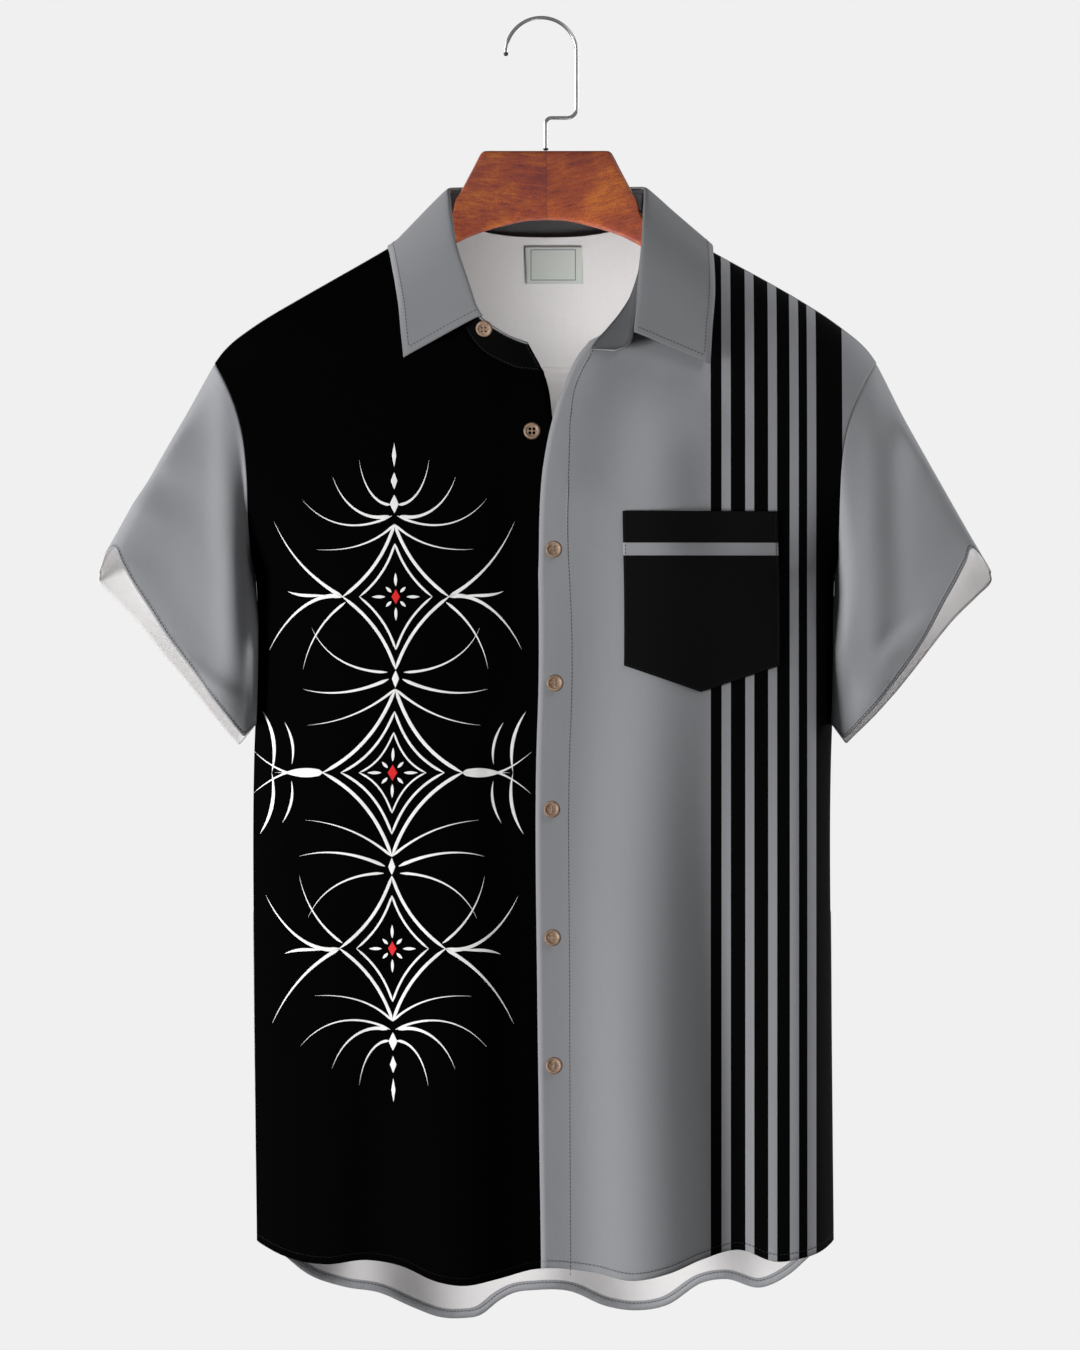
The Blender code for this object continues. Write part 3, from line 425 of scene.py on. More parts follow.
# materials
class Sum:
    # one socket of a material; arithmetic on it adds Math nodes
    def __init__(self, tree, socket):
        self.tree, self.socket = tree, socket

    def add(self, kind, settings=None, values=None, out=0):
        node = self.tree.nodes.new(kind)
        for key, value in (settings or {}).items():
            if key == "stops":
                while len(node.color_ramp.elements) < len(value):
                    node.color_ramp.elements.new(0.5)
                for element, (place, colour) in zip(node.color_ramp.elements, value):
                    element.position = place
                    element.color = (*colour, 1)
            else:
                setattr(node, key, value)
        for key, value in (values or {}).items():
            socket = node.inputs[key]
            if isinstance(value, Sum):
                self.tree.links.new(value.socket, socket)
            elif hasattr(value, "__len__") and len(value) == 3 and socket.type == "RGBA":
                socket.default_value = (*value, 1)
            else:
                socket.default_value = value
        return Sum(self.tree, node.outputs[out])

    def sums(self, operation, a, b=0.0):
        return self.add("ShaderNodeMath", {"operation": operation}, {0: a, 1: b})

    def __add__(self, other):
        return self.sums("ADD", self, other)

    def __radd__(self, other):
        return self.sums("ADD", other, self)

    def __sub__(self, other):
        return self.sums("SUBTRACT", self, other)

    def __rsub__(self, other):
        return self.sums("SUBTRACT", other, self)

    def __mul__(self, other):
        return self.sums("MULTIPLY", self, other)

    def __rmul__(self, other):
        return self.sums("MULTIPLY", other, self)

    def __gt__(self, other):
        return self.sums("GREATER_THAN", self, other)

    def __lt__(self, other):
        return self.sums("LESS_THAN", self, other)

    def __abs__(self):
        return self.sums("ABSOLUTE", self)

    def ease(self, low, high):
        return self.add("ShaderNodeMapRange", {"interpolation_type": "SMOOTHSTEP"},
                        {"Value": self, "From Min": low, "From Max": high})

    def mix(self, a, b):
        return self.add("ShaderNodeMix", {"data_type": "RGBA"}, {"Factor": self, 6: a, 7: b}, out=2)

    def noise(self, where, scale, detail, **more):
        return self.add("ShaderNodeTexNoise", {}, {"Vector": where, "Scale": scale, "Detail": detail, **more})

    def stretched(self, where, scale):
        return self.add("ShaderNodeMapping", {}, {"Vector": where, "Scale": scale})

    def attribute(self, name):
        return self.add("ShaderNodeAttribute", {"attribute_name": name}, out=2)

    def objectPlace(self):
        return self.add("ShaderNodeTexCoord", out=3)

    def placeAlong(self, axis):
        # millimetres to the wearer's left, to the back or up, for axis 0, 1 or 2
        return self.add("ShaderNodeSeparateXYZ", {}, {0: self.objectPlace()}, out=axis) * 1000.0


def newMaterial(name, roughness, metallic=0.0, sheen=0.0, coat=0.0, specular=0.5):
    material = bpy.data.materials.new(name)
    material.use_nodes = True
    shader = material.node_tree.nodes["Principled BSDF"]
    shader.inputs["Roughness"].default_value = roughness
    shader.inputs["Metallic"].default_value = metallic
    shader.inputs["Sheen Weight"].default_value = sheen
    shader.inputs["Sheen Roughness"].default_value = 0.5
    shader.inputs["Coat Weight"].default_value = coat
    shader.inputs["Specular IOR Level"].default_value = specular
    return material, shader, Sum(material.node_tree, shader.outputs[0])


def useColour(material, shader, colour, bump, distance, roughness=None, strength=1.0):
    # the finished colour, relief and roughness go into the shader
    links = material.node_tree.links
    links.new(colour.socket, shader.inputs["Base Color"])
    if roughness is not None:
        links.new(roughness.socket, shader.inputs["Roughness"])
    relief = bump.add("ShaderNodeBump", {}, {"Strength": strength, "Distance": distance, "Height": bump})
    links.new(relief.socket, shader.inputs["Normal"])


weave = {"pitch": 0.27, "relief": 0.012, "threads": 0.03,  # millimetres
         "slub": 0.07, "patchy": 0.05}  # shares of the shade
hem = {"turned": 7.0, "line": 5.2, "cuffLine": 2.6,  # how deep the hem is turned in, and where it is stitched
       # darker: the share of painted shade coloured into the stitched groove
       "groove": 1.1, "sunk": 0.4, "raised": 0.35, "pucker": 0.5, "darker": 0.16}
# the seam's groove: sunk, with painted shade by the share darker
seamGroove = {"half": 1.0, "sunk": 0.35, "darker": 0.12}


def clothMaterial(name, printed, roughness=0.85, sheen=0.1, specular=0.2, hemLine=None, seamLine=False,
                  raised=1.0):
    # printed is a function of the material's first socket that gives the colour; the weave is the product
    # of two sine waves over the flat cut, and a hem is a step and a stitched groove by its distance from
    # the edge; that groove, and the placket seam's groove, are sunk and coloured darker as painted shade
    material, shader, start = newMaterial(name, roughness, sheen=sheen, specular=specular)
    cut = start.add("ShaderNodeUVMap", {"uv_map": "cut"})
    parted = start.add("ShaderNodeSeparateXYZ", {}, {0: cut})
    down = Sum(parted.tree, parted.socket.node.outputs[1])
    wave = 2 * math.pi / (weave["pitch"] * mm)
    threads = start.sums("SINE", parted * wave) * start.sums("SINE", down * wave)
    warp = start.noise(start.stretched(cut, (900.0, 35.0, 1.0)), 1.0, 2.0)
    weft = start.noise(start.stretched(cut, (30.0, 1000.0, 1.0)), 1.0, 2.0)
    patchy = start.noise(cut, 9.0, 3.0)
    shade = 1.0 + (warp + weft - 1.0) * weave["slub"] + (patchy - 0.5) * weave["patchy"]
    colour = printed(start)
    if hemLine is not None:
        fromHem = start.attribute("fromHem")
        groove = 1.0 - abs(fromHem - hemLine).ease(0.0, hem["groove"])
        # painted shade: the stitched groove is coloured darker
        shade = shade * (1.0 - groove * hem["darker"])
        ripple = start.noise(cut, 150.0, 1.0)
        step = (1.0 - fromHem.ease(hemLine + 0.4, hemLine + 1.6)) * hem["raised"] - groove * hem["sunk"]
        pucker = (ripple - 0.5) * (1.0 - fromHem.ease(hemLine, hemLine + 7.0)) * hem["pucker"]
        relief = threads * weave["relief"] + step + pucker
    else:
        relief = threads * weave["relief"] + (warp + weft) * weave["threads"]
    if seamLine:
        seam = 1.0 - start.attribute("fromSeam").ease(0.0, seamGroove["half"])
        # painted shade: the seam's groove is coloured darker
        shade = shade * (1.0 - seam * seamGroove["darker"])
        relief = relief - seam * seamGroove["sunk"]
    shadeColour = start.add("ShaderNodeCombineColor", {}, {0: shade, 1: shade, 2: shade})
    colour = start.add("ShaderNodeMix", {"data_type": "RGBA", "blend_type": "MULTIPLY"},
                       {"Factor": 1.0, 6: colour, 7: shadeColour}, out=2)
    useColour(material, shader, colour, relief, mm, strength=raised)
    return material


def plain(colour):
    # one colour all over
    return lambda start: start.add("ShaderNodeMix", {"data_type": "RGBA"}, {6: colour, 7: colour}, out=2)


stripes = {  # grey bands on the black side of the left front: from, to, in millimetres of world X
    "black": 121.4,
    "bands": [(129.2, 135.8), (146.2, 152.6), (162.6, 169.0), (178.1, 184.6), (190.7, 197.2)],
    "shoulder": 216.0,  # the grey that shows past the black at the shoulder
}


def stripedPrint(start):
    # grey up to the first line, then black with grey bands, by distance across
    x = start.placeAlong(0)
    black = x > stripes["black"]
    for low, high in stripes["bands"]:
        black = black - (x > low) * (x < high)
    black = black - (x > stripes["shoulder"])
    return black.mix(greyCloth, blackCloth)


def liningPrint(outside, facing=0.0):
    # the pale back of the cloth, with its printed side turned in along the hem and, on a front, along its
    # edge
    def printed(start):
        turned = start.attribute("fromHem") < hem["turned"]
        if facing:
            turned = start.sums("MAXIMUM", turned, start.attribute("fromEdge") < facing)
        return turned.mix(paleCloth, outside)
    return printed


blackOutside = clothMaterial("black cloth", plain(blackCloth), roughness=1.0, sheen=0.0, specular=0.0,
                             hemLine=hem["line"])
greyOutside = clothMaterial("grey cloth", plain(greyCloth), hemLine=hem["line"])
greyPlain = clothMaterial("grey cloth, collar", plain(greyCloth))
stripedOutside = clothMaterial("grey and striped cloth", stripedPrint, roughness=0.95, sheen=0.0,
                               specular=0.03, hemLine=hem["line"], seamLine=True)
cuffOutside = clothMaterial("grey cloth, sleeve", plain(greyCloth), hemLine=hem["cuffLine"])
backInside = clothMaterial("pale cloth, back hem", liningPrint(greyCloth), sheen=0.0, hemLine=hem["line"])
sleeveInside = clothMaterial("pale cloth, sleeve", plain(paleCloth), sheen=0.0, raised=0.2)
yokeInside = clothMaterial("pale cloth, yoke", plain(paleCloth), sheen=0.05, hemLine=hem["cuffLine"])
blackInside = clothMaterial("pale cloth, black facing", liningPrint(blackCloth, 34.0), sheen=0.0,
                            specular=0.1, hemLine=hem["line"])
greyInside = clothMaterial("pale cloth, grey facing", liningPrint(greyCloth, 21.0), sheen=0.05,
                           hemLine=hem["line"])


def threadMaterial(name, colour):
    # spun thread: fine streaks of light and dark
    material, shader, start = newMaterial(name, 0.75, specular=0.15)
    fibres = start.noise(start.objectPlace(), 1400.0, 2.0)
    streaked = fibres.mix([c * 0.6 for c in colour], [c * 1.4 for c in colour])
    useColour(material, shader, streaked, fibres, 0.1 * mm)
    return material


darkThread = threadMaterial("dark thread", (0.02, 0.021, 0.023))
greyThread = threadMaterial("grey thread", (0.06, 0.061, 0.066))
paleThread = threadMaterial("pale thread", (0.62, 0.62, 0.62))
blackThread = threadMaterial("black thread", (0.004, 0.004, 0.004))
print("materials made")

# fronts
fronts = {
    "upperRows": 102, "neckRows": 66, "lowerRows": 136, "columns": 66,
    "hem": [  # across, drop
        (-206.3, 879), (-189, 888), (-158, 894.4), (-129, 891.2), (-103, 895.2), (-77, 906.4),
        (-59.8, 909.2), (-34, 904.2), (-8, 897.4), (35, 899.8), (61, 905.6), (87, 900.8), (113, 890.2),
        (139, 884), (165, 892.4), (182, 890.2), (199, 884), (206.3, 878.5)],
    "front_right": {
        "neck": [(-72, 136), (-71.5, 150), (-70.5, 166), (-68.5, 184), (-65, 203), (-57, 224), (-44, 240),
                 (-23, 250.5), (-1.5, 254)],
        "edge": [(-1.5, 254), (2.2, 265), (6, 288), (9, 310), (13, 345), (15.5, 400)],
        "edgeHem": 15.5},
    "front_left": {
        "neck": [(72, 136), (71.5, 150), (69.5, 170), (66.5, 182), (62.5, 193), (57.5, 204), (51.5, 214.5),
                 (43.5, 225.2), (31, 233)],
        "edge": [(31, 233), (23.5, 242.5), (13.7, 264), (6.2, 288), (0.4, 317), (-5, 400)],
        "edgeHem": -3.2},
    "tuck": 2.6, "tuckFrom": -48.0, "tuckTo": -19.0,  # the right front steps back under the left one
}
hemAcross, hemDrop = columnsOf(fronts["hem"])


def frontFlat(name, mirror):
    # (across, drop) of one front, laid out as for the wearer's left: a patch between neck, shoulder,
    # armhole and chest, then straight columns down to the hem
    neck, edge = (np.array(fronts[name][key]) * (mirror, 1) for key in ("neck", "edge"))
    t = np.linspace(0, 1, fronts["columns"] + 1)
    share = 0.5 * (t + np.sin(t * np.pi / 2))
    down = (np.arange(fronts["upperRows"] + 1) / fronts["upperRows"]) ** 2
    crest = shoulderDrop[0] + (body["tip"] - shoulderDrop[0]) * t
    top = np.stack([halfWidth(crest), crest], -1)
    start = edge[-1, 0]
    across = start + (halfWidth(np.array(body["armpit"])) - start) * share
    bottom = np.stack([across, np.full_like(across, body["armpit"])], -1)
    inner = np.concatenate([along(neck, fronts["neckRows"] + 1, 1.6),
                            along(edge, fronts["upperRows"] - fronts["neckRows"] + 1, 1.4)[1:]])
    outer = armholeEdge(np.linspace(0, np.pi, fronts["upperRows"] + 1))
    upper = patch(top, bottom, inner, outer, down, share)
    toHem = fronts[name]["edgeHem"] * mirror
    hemAt = toHem + (halfWidth(np.array(body["hemDrop"])) - toHem) * share
    lowest = np.stack([hemAt, smoothCurve(hemAt * mirror, hemAcross, hemDrop)], -1)
    step = np.linspace(0, 1, fronts["lowerRows"] + 1)[1:, None, None]
    lower = bottom[None] * (1 - step) + lowest[None] * step
    first = start + (toHem - start) * step[..., 0]
    lower[..., 0] = first + share * (halfWidth(lower[..., 1]) - first)
    return np.concatenate([upper, lower])


def distanceTo(points, line):
    # how far each point of a grid is from a line of points, worked out row by row
    starts, ends = line[:-1], line[1:]
    way = ends - starts
    found = []
    for row in points:
        t = np.clip(((row[:, None] - starts) * way).sum(-1) / np.maximum((way * way).sum(-1), 1e-9), 0, 1)
        found.append(np.linalg.norm(row[:, None] - starts - t[..., None] * way, axis=-1).min(1))
    return np.array(found)


placketSeam = [  # across, drop of the stitched line beside the left front's edge
    (34, 239), (27, 252.4), (21.6, 266), (19.2, 283.3), (18.1, 317), (17.2, 345), (16.8, 381), (18.6, 440),
    (19.2, 560), (19.4, 700), (18.6, 800), (18, 902)]


def onFront(line, count):
    # points along a line of (across, drop) on the front's outer face, with the normals there
    return clothFace(along(line, count), -1)


def tucked(across):
    # how far the right front steps back to pass under the left one
    return fronts["tuck"] * easeIn(fronts["tuckFrom"], fronts["tuckTo"], across)


def makeFront(name, mirror, materials):
    # one front's cloth on its form, with its flat places and the row of stitches along its hem
    flat = frontFlat(name, mirror) * (mirror, 1)
    outer, normal = clothFace(flat, -1)
    if mirror < 0:
        outer[..., 1] += tucked(flat[..., 0])
    distances = {"fromHem": distanceTo(outer, outer[-1]),
                 "fromEdge": distanceTo(outer, outer[fronts["neckRows"] :, 0]),
                 "fromSeam": distanceTo(outer, onFront(placketSeam, 240)[0])}
    piece = clothShell(name, outer, normal, materials, wayIn=-mirror, distances=distances)
    return piece, flat, insetLine(outer, normal, "bottom", hem["line"], (1, 1))


rightFront, rightFlat, rightHemRow = makeFront("front_right", -1, [blackOutside, blackInside])
leftFront, leftFlat, leftHemRow = makeFront("front_left", 1, [stripedOutside, greyInside])
rightStitches = stitching("stitches_front_right", [rightHemRow], blackThread)
leftStitches = stitching("stitches_front_left", [leftHemRow, onFront(placketSeam, 500)], darkThread)
print("fronts made")

# yoke and back
back = {
    "columns": 66, "neckColumns": 22,  # of one half
    "yokeRows": 40, "upperRows": 40, "lowerRows": 140,
    "neck": [(-72, 136), (-65, 144), (-50, 151.5), (-28, 155.8), (0, 157)],
    "yokeDrop": 254.5, "yokeDip": 45.0, "yokeLift": 0.35, "yokeLine": 1.6,
    "underYoke": 5.0, "underBy": 0.7, "underTo": 6.0,  # the back's top edge lies under the yoke
    "hem": [(-206.3, 879), (-192, 888), (-172, 904.5), (-146, 914.5), (-120, 919), (-94, 930.5), (-77, 937),
            (-60, 938), (-47, 935.6), (-34, 925.2), (-24, 919.8), (-8, 917.4), (18, 918.2), (44, 929.2),
            (65.5, 932.4), (87, 928.6), (113, 911.8), (130, 909), (156, 915), (175, 905.5), (193, 889),
            (206.3, 878.5)],
}
backHemAcross, backHemDrop = columnsOf(back["hem"])
yokeHigh = (armMiddle - back["yokeDrop"] - back["yokeDip"]) / armHalf
yokeTurn = math.acos(yokeHigh ** (body["armholePower"] / 2))
yokeEnd = armholeEdge(np.array(yokeTurn))


def yokeSeam(across):
    # the seam's drop: a parabola, lower towards the armholes
    return back["yokeDrop"] + (yokeEnd[1] - back["yokeDrop"]) * (across / yokeEnd[0]) ** 2


def bothSides(half):
    # a half row mirrored and joined at the middle
    return np.concatenate([(half * (-1, 1))[:0:-1], half])


crestDrop = np.linspace(shoulderDrop[0], body["tip"], back["columns"] - back["neckColumns"] + 1)
crest = np.stack([halfWidth(crestDrop), crestDrop], -1)
backNeck = along(np.array(back["neck"])[::-1] * (-1, 1), back["neckColumns"] + 1)
yokeTop = bothSides(np.concatenate([backNeck, crest[1:]]))
share = np.linspace(0, 1, back["columns"] + 1)
seamAcross = yokeEnd[0] * share**0.95
yokeBottom = bothSides(np.stack([seamAcross, yokeSeam(seamAcross)], -1))
yokeSide = armholeEdge(np.linspace(0, yokeTurn, back["yokeRows"] + 1))
evenly = np.linspace(0, 1, 2 * back["columns"] + 1)
yokeFlat = patch(yokeTop, yokeBottom, yokeSide * (-1, 1), yokeSide,
                 (np.arange(back["yokeRows"] + 1) / back["yokeRows"]) ** 1.8, evenly)
yokeOuter, yokeNormal = clothFace(yokeFlat, 1, back["yokeLift"])
yokeGroove = hem["line"] - back["yokeLine"]
yokePiece = clothShell("yoke", yokeOuter, yokeNormal, [greyOutside, yokeInside],
                       distances={"fromHem": distanceTo(yokeOuter, yokeOuter[-1]) + yokeGroove})

share = 0.5 * (share + np.sin(share * np.pi / 2))
seamAcross = yokeEnd[0] * share
backTop = bothSides(np.stack([seamAcross, yokeSeam(seamAcross) - back["underYoke"]], -1))
armpitAcross = halfWidth(np.array(body["armpit"])) * share
backMiddle = bothSides(np.stack([armpitAcross, np.full_like(armpitAcross, body["armpit"])], -1))
backSide = armholeEdge(np.linspace(yokeTurn - back["underYoke"] / armHalf, np.pi, back["upperRows"] + 1))
backUpper = patch(backTop, backMiddle, backSide * (-1, 1), backSide,
                  np.linspace(0, 1, back["upperRows"] + 1), evenly)
acrossHem = bothSides(np.stack([halfWidth(np.array(body["hemDrop"])) * share, share], -1))[:, 0]
backHem = np.stack([acrossHem, smoothCurve(acrossHem, backHemAcross, backHemDrop)], -1)
step = np.linspace(0, 1, back["lowerRows"] + 1)[1:, None, None]
backFlat = np.concatenate([backUpper, backMiddle[None] * (1 - step) + backHem[None] * step])
under = 1 - easeIn(0.0, back["underTo"], backFlat[..., 1] - backFlat[:1, :, 1])
backOuter, backNormal = clothFace(backFlat, 1, -back["underBy"] * under)
backPiece = clothShell("back", backOuter, backNormal, [greyOutside, backInside],
                       distances={"fromHem": distanceTo(backOuter, backOuter[-1])})


def inside(row, deep=body["shell"]):
    # the same row of stitches where it comes through on the cloth's other side
    points, normals = row
    return points - normals * deep, -normals


yokeRow = insetLine(yokeOuter, yokeNormal, "bottom", back["yokeLine"], (2, 2))
backHemRow = insetLine(backOuter, backNormal, "bottom", hem["line"], (1, 1))
yokeStitches = stitching("stitches_yoke", [yokeRow, inside(yokeRow)], darkThread)
backStitches = stitching("stitches_back", [backHemRow, inside(backHemRow)], darkThread)
print("yoke and back made")

# sleeves
sleeve = {
    "columns": 144, "rows": 66, "closer": 0.3,  # columns stand closer together at the folds
    "cuff": [(323.6, 403.2), (217.0, 518.5), (207.85, 507.5)],  # outer fold, lowest corner, inner fold
    "cuffDepth": 53.0, "cuffPower": 2.5, "full": 5.0, "way": (0.485, 0.875),
    "start": 0.1, "armpitClear": 1.42, "armpitPower": 2.5,  # how clear of the armhole's edge it starts
    "square": 16.0, "squareFrom": 0.55, "flat": (0.96, 0.86),  # front and back lie flat between the folds
    "rise": {  # angle from the outer fold by the front, how far the cuff's edge is raised there
        "sleeve_right": [(0, 5), (9, 17), (18, 26.5), (37, 23.5), (53, 19.2), (72, 14.4), (81, 11.6),
                         (97, 8.0), (121, 5.4), (143, 2.6), (165, 0.6), (180, 0), (200, -2.6),
                         (217, -5.0), (228, -5.5), (238, -5.5), (253, -4.4), (265, -3.3), (277, -2.0),
                         (290, -0.4), (310, 0), (343, 0), (351, 1.2), (360, 5)],
        "sleeve_left": [(0, 5), (9, 17), (18, 27.5), (37, 25), (53, 21), (66, 17.2), (80, 11.0), (86, 8.3),
                        (92, 5.6), (103, 3.4), (121, 2.2), (143, 0.8), (180, 0), (200, -2.0), (217, -3.8),
                        (228, -4.0), (238, -4.5), (253, -4.4), (265, -3.3), (277, -0.4), (292, 1.6),
                        (318, 0.6), (343, 0), (351, 1.2), (360, 5)]},
    "nearBody": 0.15, "overlap": 1.4, "overlapFrom": (6, 32),  # the inner fold lies before the body's side
    "sides": 2.2, "calm": 0.9,  # creases stay on their own side of the tube and fade at the inner fold
    "head": (1.2, 0.3), "headSunk": (0.4, 0.012),  # how far the head stands out or in, down to what share
}


def sleeveRings(name, raised=1.0):
    # rings from the armhole's edge to the cuff, each a superellipse at the cuff and mixed in straight
    # lines; the last column repeats the first
    turn = np.linspace(0, 2 * np.pi, sleeve["columns"] + 1)
    turn = turn - sleeve["closer"] * np.sin(2 * turn)
    edge = armholeEdge(turn)
    clear = sleeve["start"] + sleeve["armpitClear"] * ((1 - np.cos(turn)) / 2) ** sleeve["armpitPower"]
    depth = -np.sign(np.sin(turn)) * armholeDepth(edge[:, 1])
    first = np.stack([edge[:, 0] + clear, depth, edge[:, 1]], -1)
    cuff = np.array(sleeve["cuff"])
    reach = lengths(cuff)
    overCuff = signedPower(np.cos(turn), 2 / sleeve["cuffPower"])
    front = signedPower(np.sin(turn), 2 / sleeve["cuffPower"])
    riseAngle, riseHigh = columnsOf(sleeve["rise"][name])
    rise = smoothCurve(np.degrees(turn), riseAngle, riseHigh) * raised
    at = (1 - overCuff) / 2 * reach[-1]
    last = np.stack([np.interp(at, reach, cuff[:, 0]) - sleeve["way"][0] * rise,
                     -sleeve["cuffDepth"] * front,
                     np.interp(at, reach, cuff[:, 1]) - sleeve["way"][1] * rise], -1)
    step = np.linspace(0, 1, sleeve["rows"] + 1)[:, None, None]
    rings = first[None] * (1 - step) + last[None] * step
    rings[..., 1] -= sleeve["full"] * np.sin(np.pi * step[..., 0]) * front
    flatter = np.sign(np.sin(turn)) * (1 - np.abs(np.cos(turn)) ** sleeve["square"]) ** (1 / sleeve["square"])
    flat = sleeve["flat"][0] + (sleeve["flat"][1] - sleeve["flat"][0]) * step[..., 0]
    deep = body["armholeDepth"] * (1 - step[..., 0]) + sleeve["cuffDepth"] * step[..., 0]
    # shallow near the shoulder's tip
    deep = deep * armholeDepth(np.minimum(rings[..., 2], armMiddle)) / body["armholeDepth"]
    rings[..., 1] -= easeIn(0, sleeve["squareFrom"], step[..., 0]) * deep * (flat * flatter - front)
    beside = halfWidth(np.maximum(rings[..., 2], body["armpit"])) + body["cloth"] + sleeve["nearBody"]
    ahead = sleeve["overlap"] * easeIn(*sleeve["overlapFrom"], -rings[..., 1]) * easeIn(0, 0.12, step[..., 0])
    fold = sleeve["columns"] // 2
    toBody = (rings[:, fold, 0] - beside[:, fold])[:, None] + ahead
    rings[..., 0] -= toBody * ((1 - np.cos(turn)) / 2) ** 8
    rings[..., 0] = np.maximum(rings[..., 0], np.where(step[..., 0] > 0, beside - ahead, 0))
    return rings, turn, step[..., 0]


sleeveParts = {}
for name, mirror in (("sleeve_left", 1), ("sleeve_right", -1)):
    rings, turn, step = sleeveRings(name)
    normal = gridNormals(sleeveRings(name, 0.0)[0], tube=True)
    normal[:, -1] = normal[:, 0]
    front = np.clip(sleeve["sides"] * np.sin(turn), 0, 1)[None, :]
    behind = np.clip(-sleeve["sides"] * np.sin(turn), 0, 1)[None, :]
    height = front * creaseHeight(rings[..., 0], rings[..., 2], creases[name + " front"])
    height = height + behind * creaseHeight(rings[..., 0], rings[..., 2], creases[name + " back"])
    height = height * easeIn(0, 0.06, step)
    height = height + sleeve["head"][0] * (1 - easeIn(0.0, sleeve["head"][1], step))
    height = height - sleeve["headSunk"][0] * (1 - easeIn(0.0, sleeve["headSunk"][1], step))
    height = height * (1 - sleeve["calm"] * easeIn(0.5, 1.0, (1 - np.cos(turn)) / 2) ** 6)[None, :]
    outer = rings + normal * height[..., None]
    outer, normal = outer * (mirror, 1, 1), normal * (mirror, 1, 1)
    fromHem = np.linalg.norm(outer - outer[-1:], axis=-1)
    piece = clothShell(name, outer, normal, [cuffOutside, sleeveInside], tube=True,
                       wayIn=-mirror, distances={"fromHem": fromHem})
    cuffRow = insetLine(outer, normal, "bottom", hem["cuffLine"])
    rows = [stitching("stitches_" + name, [cuffRow], greyThread),
            stitching("stitches_inside_" + name, [(*inside(cuffRow), 0.2)], paleThread)]
    sleeveParts[name] = (piece, rows)
leftSleeve, leftCuffStitches = sleeveParts["sleeve_left"]
print("sleeves made")

# collar
collar = {
    "stand": [  # across, depth, drop of the seam; across, depth, drop of the fold
        (-1.5, -69, 254, -13.7, -77, 233.6), (-12, -70, 252.5, -22.5, -77, 230.4),
        (-23, -70, 250.5, -33, -77, 225.2), (-44, -67, 240, -47.5, -74, 215.5),
        (-57, -62, 224, -53.5, -72, 206), (-65, -54, 203, -59.5, -66, 188),
        (-68.5, -43, 184, -66, -56, 165), (-70.5, -30, 166, -68.2, -42, 147),
        (-71.5, -15, 150, -69.4, -22, 131), (-72, 0, 136, -69.8, -3, 124), (-65, 20, 144, -63, 16, 122.5),
        (-50, 34, 151.5, -50, 30, 122.5), (-28, 42, 155.8, -28, 38, 124.5), (0, 44, 157, 0, 40, 125.5),
        (28, 42, 155.8, 28, 38, 124.5), (50, 34, 151.5, 50, 30, 122.5), (65, 20, 144, 65.5, 16, 122),
        (72, 0, 136, 72, -3, 123.5), (71.5, -15, 150, 72, -22, 131), (69.5, -33, 170, 70.5, -42, 148),
        (66.5, -43, 182, 68.5, -55, 168), (62.5, -50, 193, 66, -62, 187),
        (57.5, -55, 204, 64.5, -67, 203), (51.5, -60, 214.5, 63.6, -72, 216),
        (43.5, -64, 225.2, 63, -76, 226.5), (38.5, -66, 231, 61.8, -77, 232.6),
        (35.2, -67.5, 235.6, 58, -77, 237.4), (33, -68, 239, 50.5, -77, 240.2)],
    "leaf": [  # row of the stand, across, depth, drop of the leaf's outer edge
        (3, -101.8, -66, 244.3), (4, -103.2, -64, 232), (5, -105.6, -58, 215), (6, -108.6, -50, 198),
        (7, -111, -38, 182), (8, -112.6, -21, 170), (9, -113, -4, 166), (10, -104, 26, 168),
        (11, -80, 42, 174), (12, -45, 51, 178), (13, 0, 54, 179), (14, 45, 51, 178), (15, 80, 42, 174),
        (16, 104, 26, 168), (17, 117, -4, 162.5), (18, 118.6, -22, 172), (19, 118.9, -37, 184),
        (20, 118.9, -48, 198), (21, 118.8, -56, 212), (22, 118.7, -62, 225), (23, 118.4, -66, 237),
        (24, 117.8, -69, 248.8)],
    "finer": 8, "standRows": 12, "leafRows": 36, "thick": 1.5,
    "lap": 1.2, "short": 0.6,  # the stand starts under the seam and ends short of the fold
    "standClear": 0.5, "leafClear": 0.6, "roll": 2.4, "leafOut": 11.0,
    "standPale": 1.3,  # the grey rim along the fold
    "leafLines": [  # stitched lines: edge, how far in, how much shorter at their two ends
        ("top", 5.0, (4.6, 4.6)), ("left", 5.2, (4.8, 3.0)), ("right", 4.2, (4.8, 3.0))],
    "standLines": [
        ("top", 1.8, (2, 2)), ("bottom", 2.2, (2, 2)), ("left", 2.0, (2, 2)), ("right", 2.0, (2, 2))],
    "blackTo": 12.0, "blackBefore": -30.0,  # the stand's black part ends there, across and in depth
}


def spread(table, times):
    # a table made that many times finer by smooth curves through its rows
    table = np.asarray(table, float)
    stops = np.arange(len(table), dtype=float)
    at = np.linspace(0, len(table) - 1, (len(table) - 1) * times + 1)
    return np.stack([smoothCurve(at, stops, table[:, k]) for k in range(table.shape[1])], -1)


def nearCollar(flat, side, under=False):
    # the cloth on which the collar lies, as points and normals
    outer, normal = clothFace(flat, side)
    if under:
        outer[..., 1] += tucked(flat[..., 0])
    keep = (np.abs(flat[..., 0]) < 150) & (flat[..., 1] < 285)
    return outer[keep], normal[keep]


collarGround = [nearCollar(rightFlat, -1, True), nearCollar(leftFlat, -1), nearCollar(yokeFlat, 1)]
groundPoints = np.concatenate([points for points, _ in collarGround])
groundNormals = np.concatenate([normals for _, normals in collarGround])


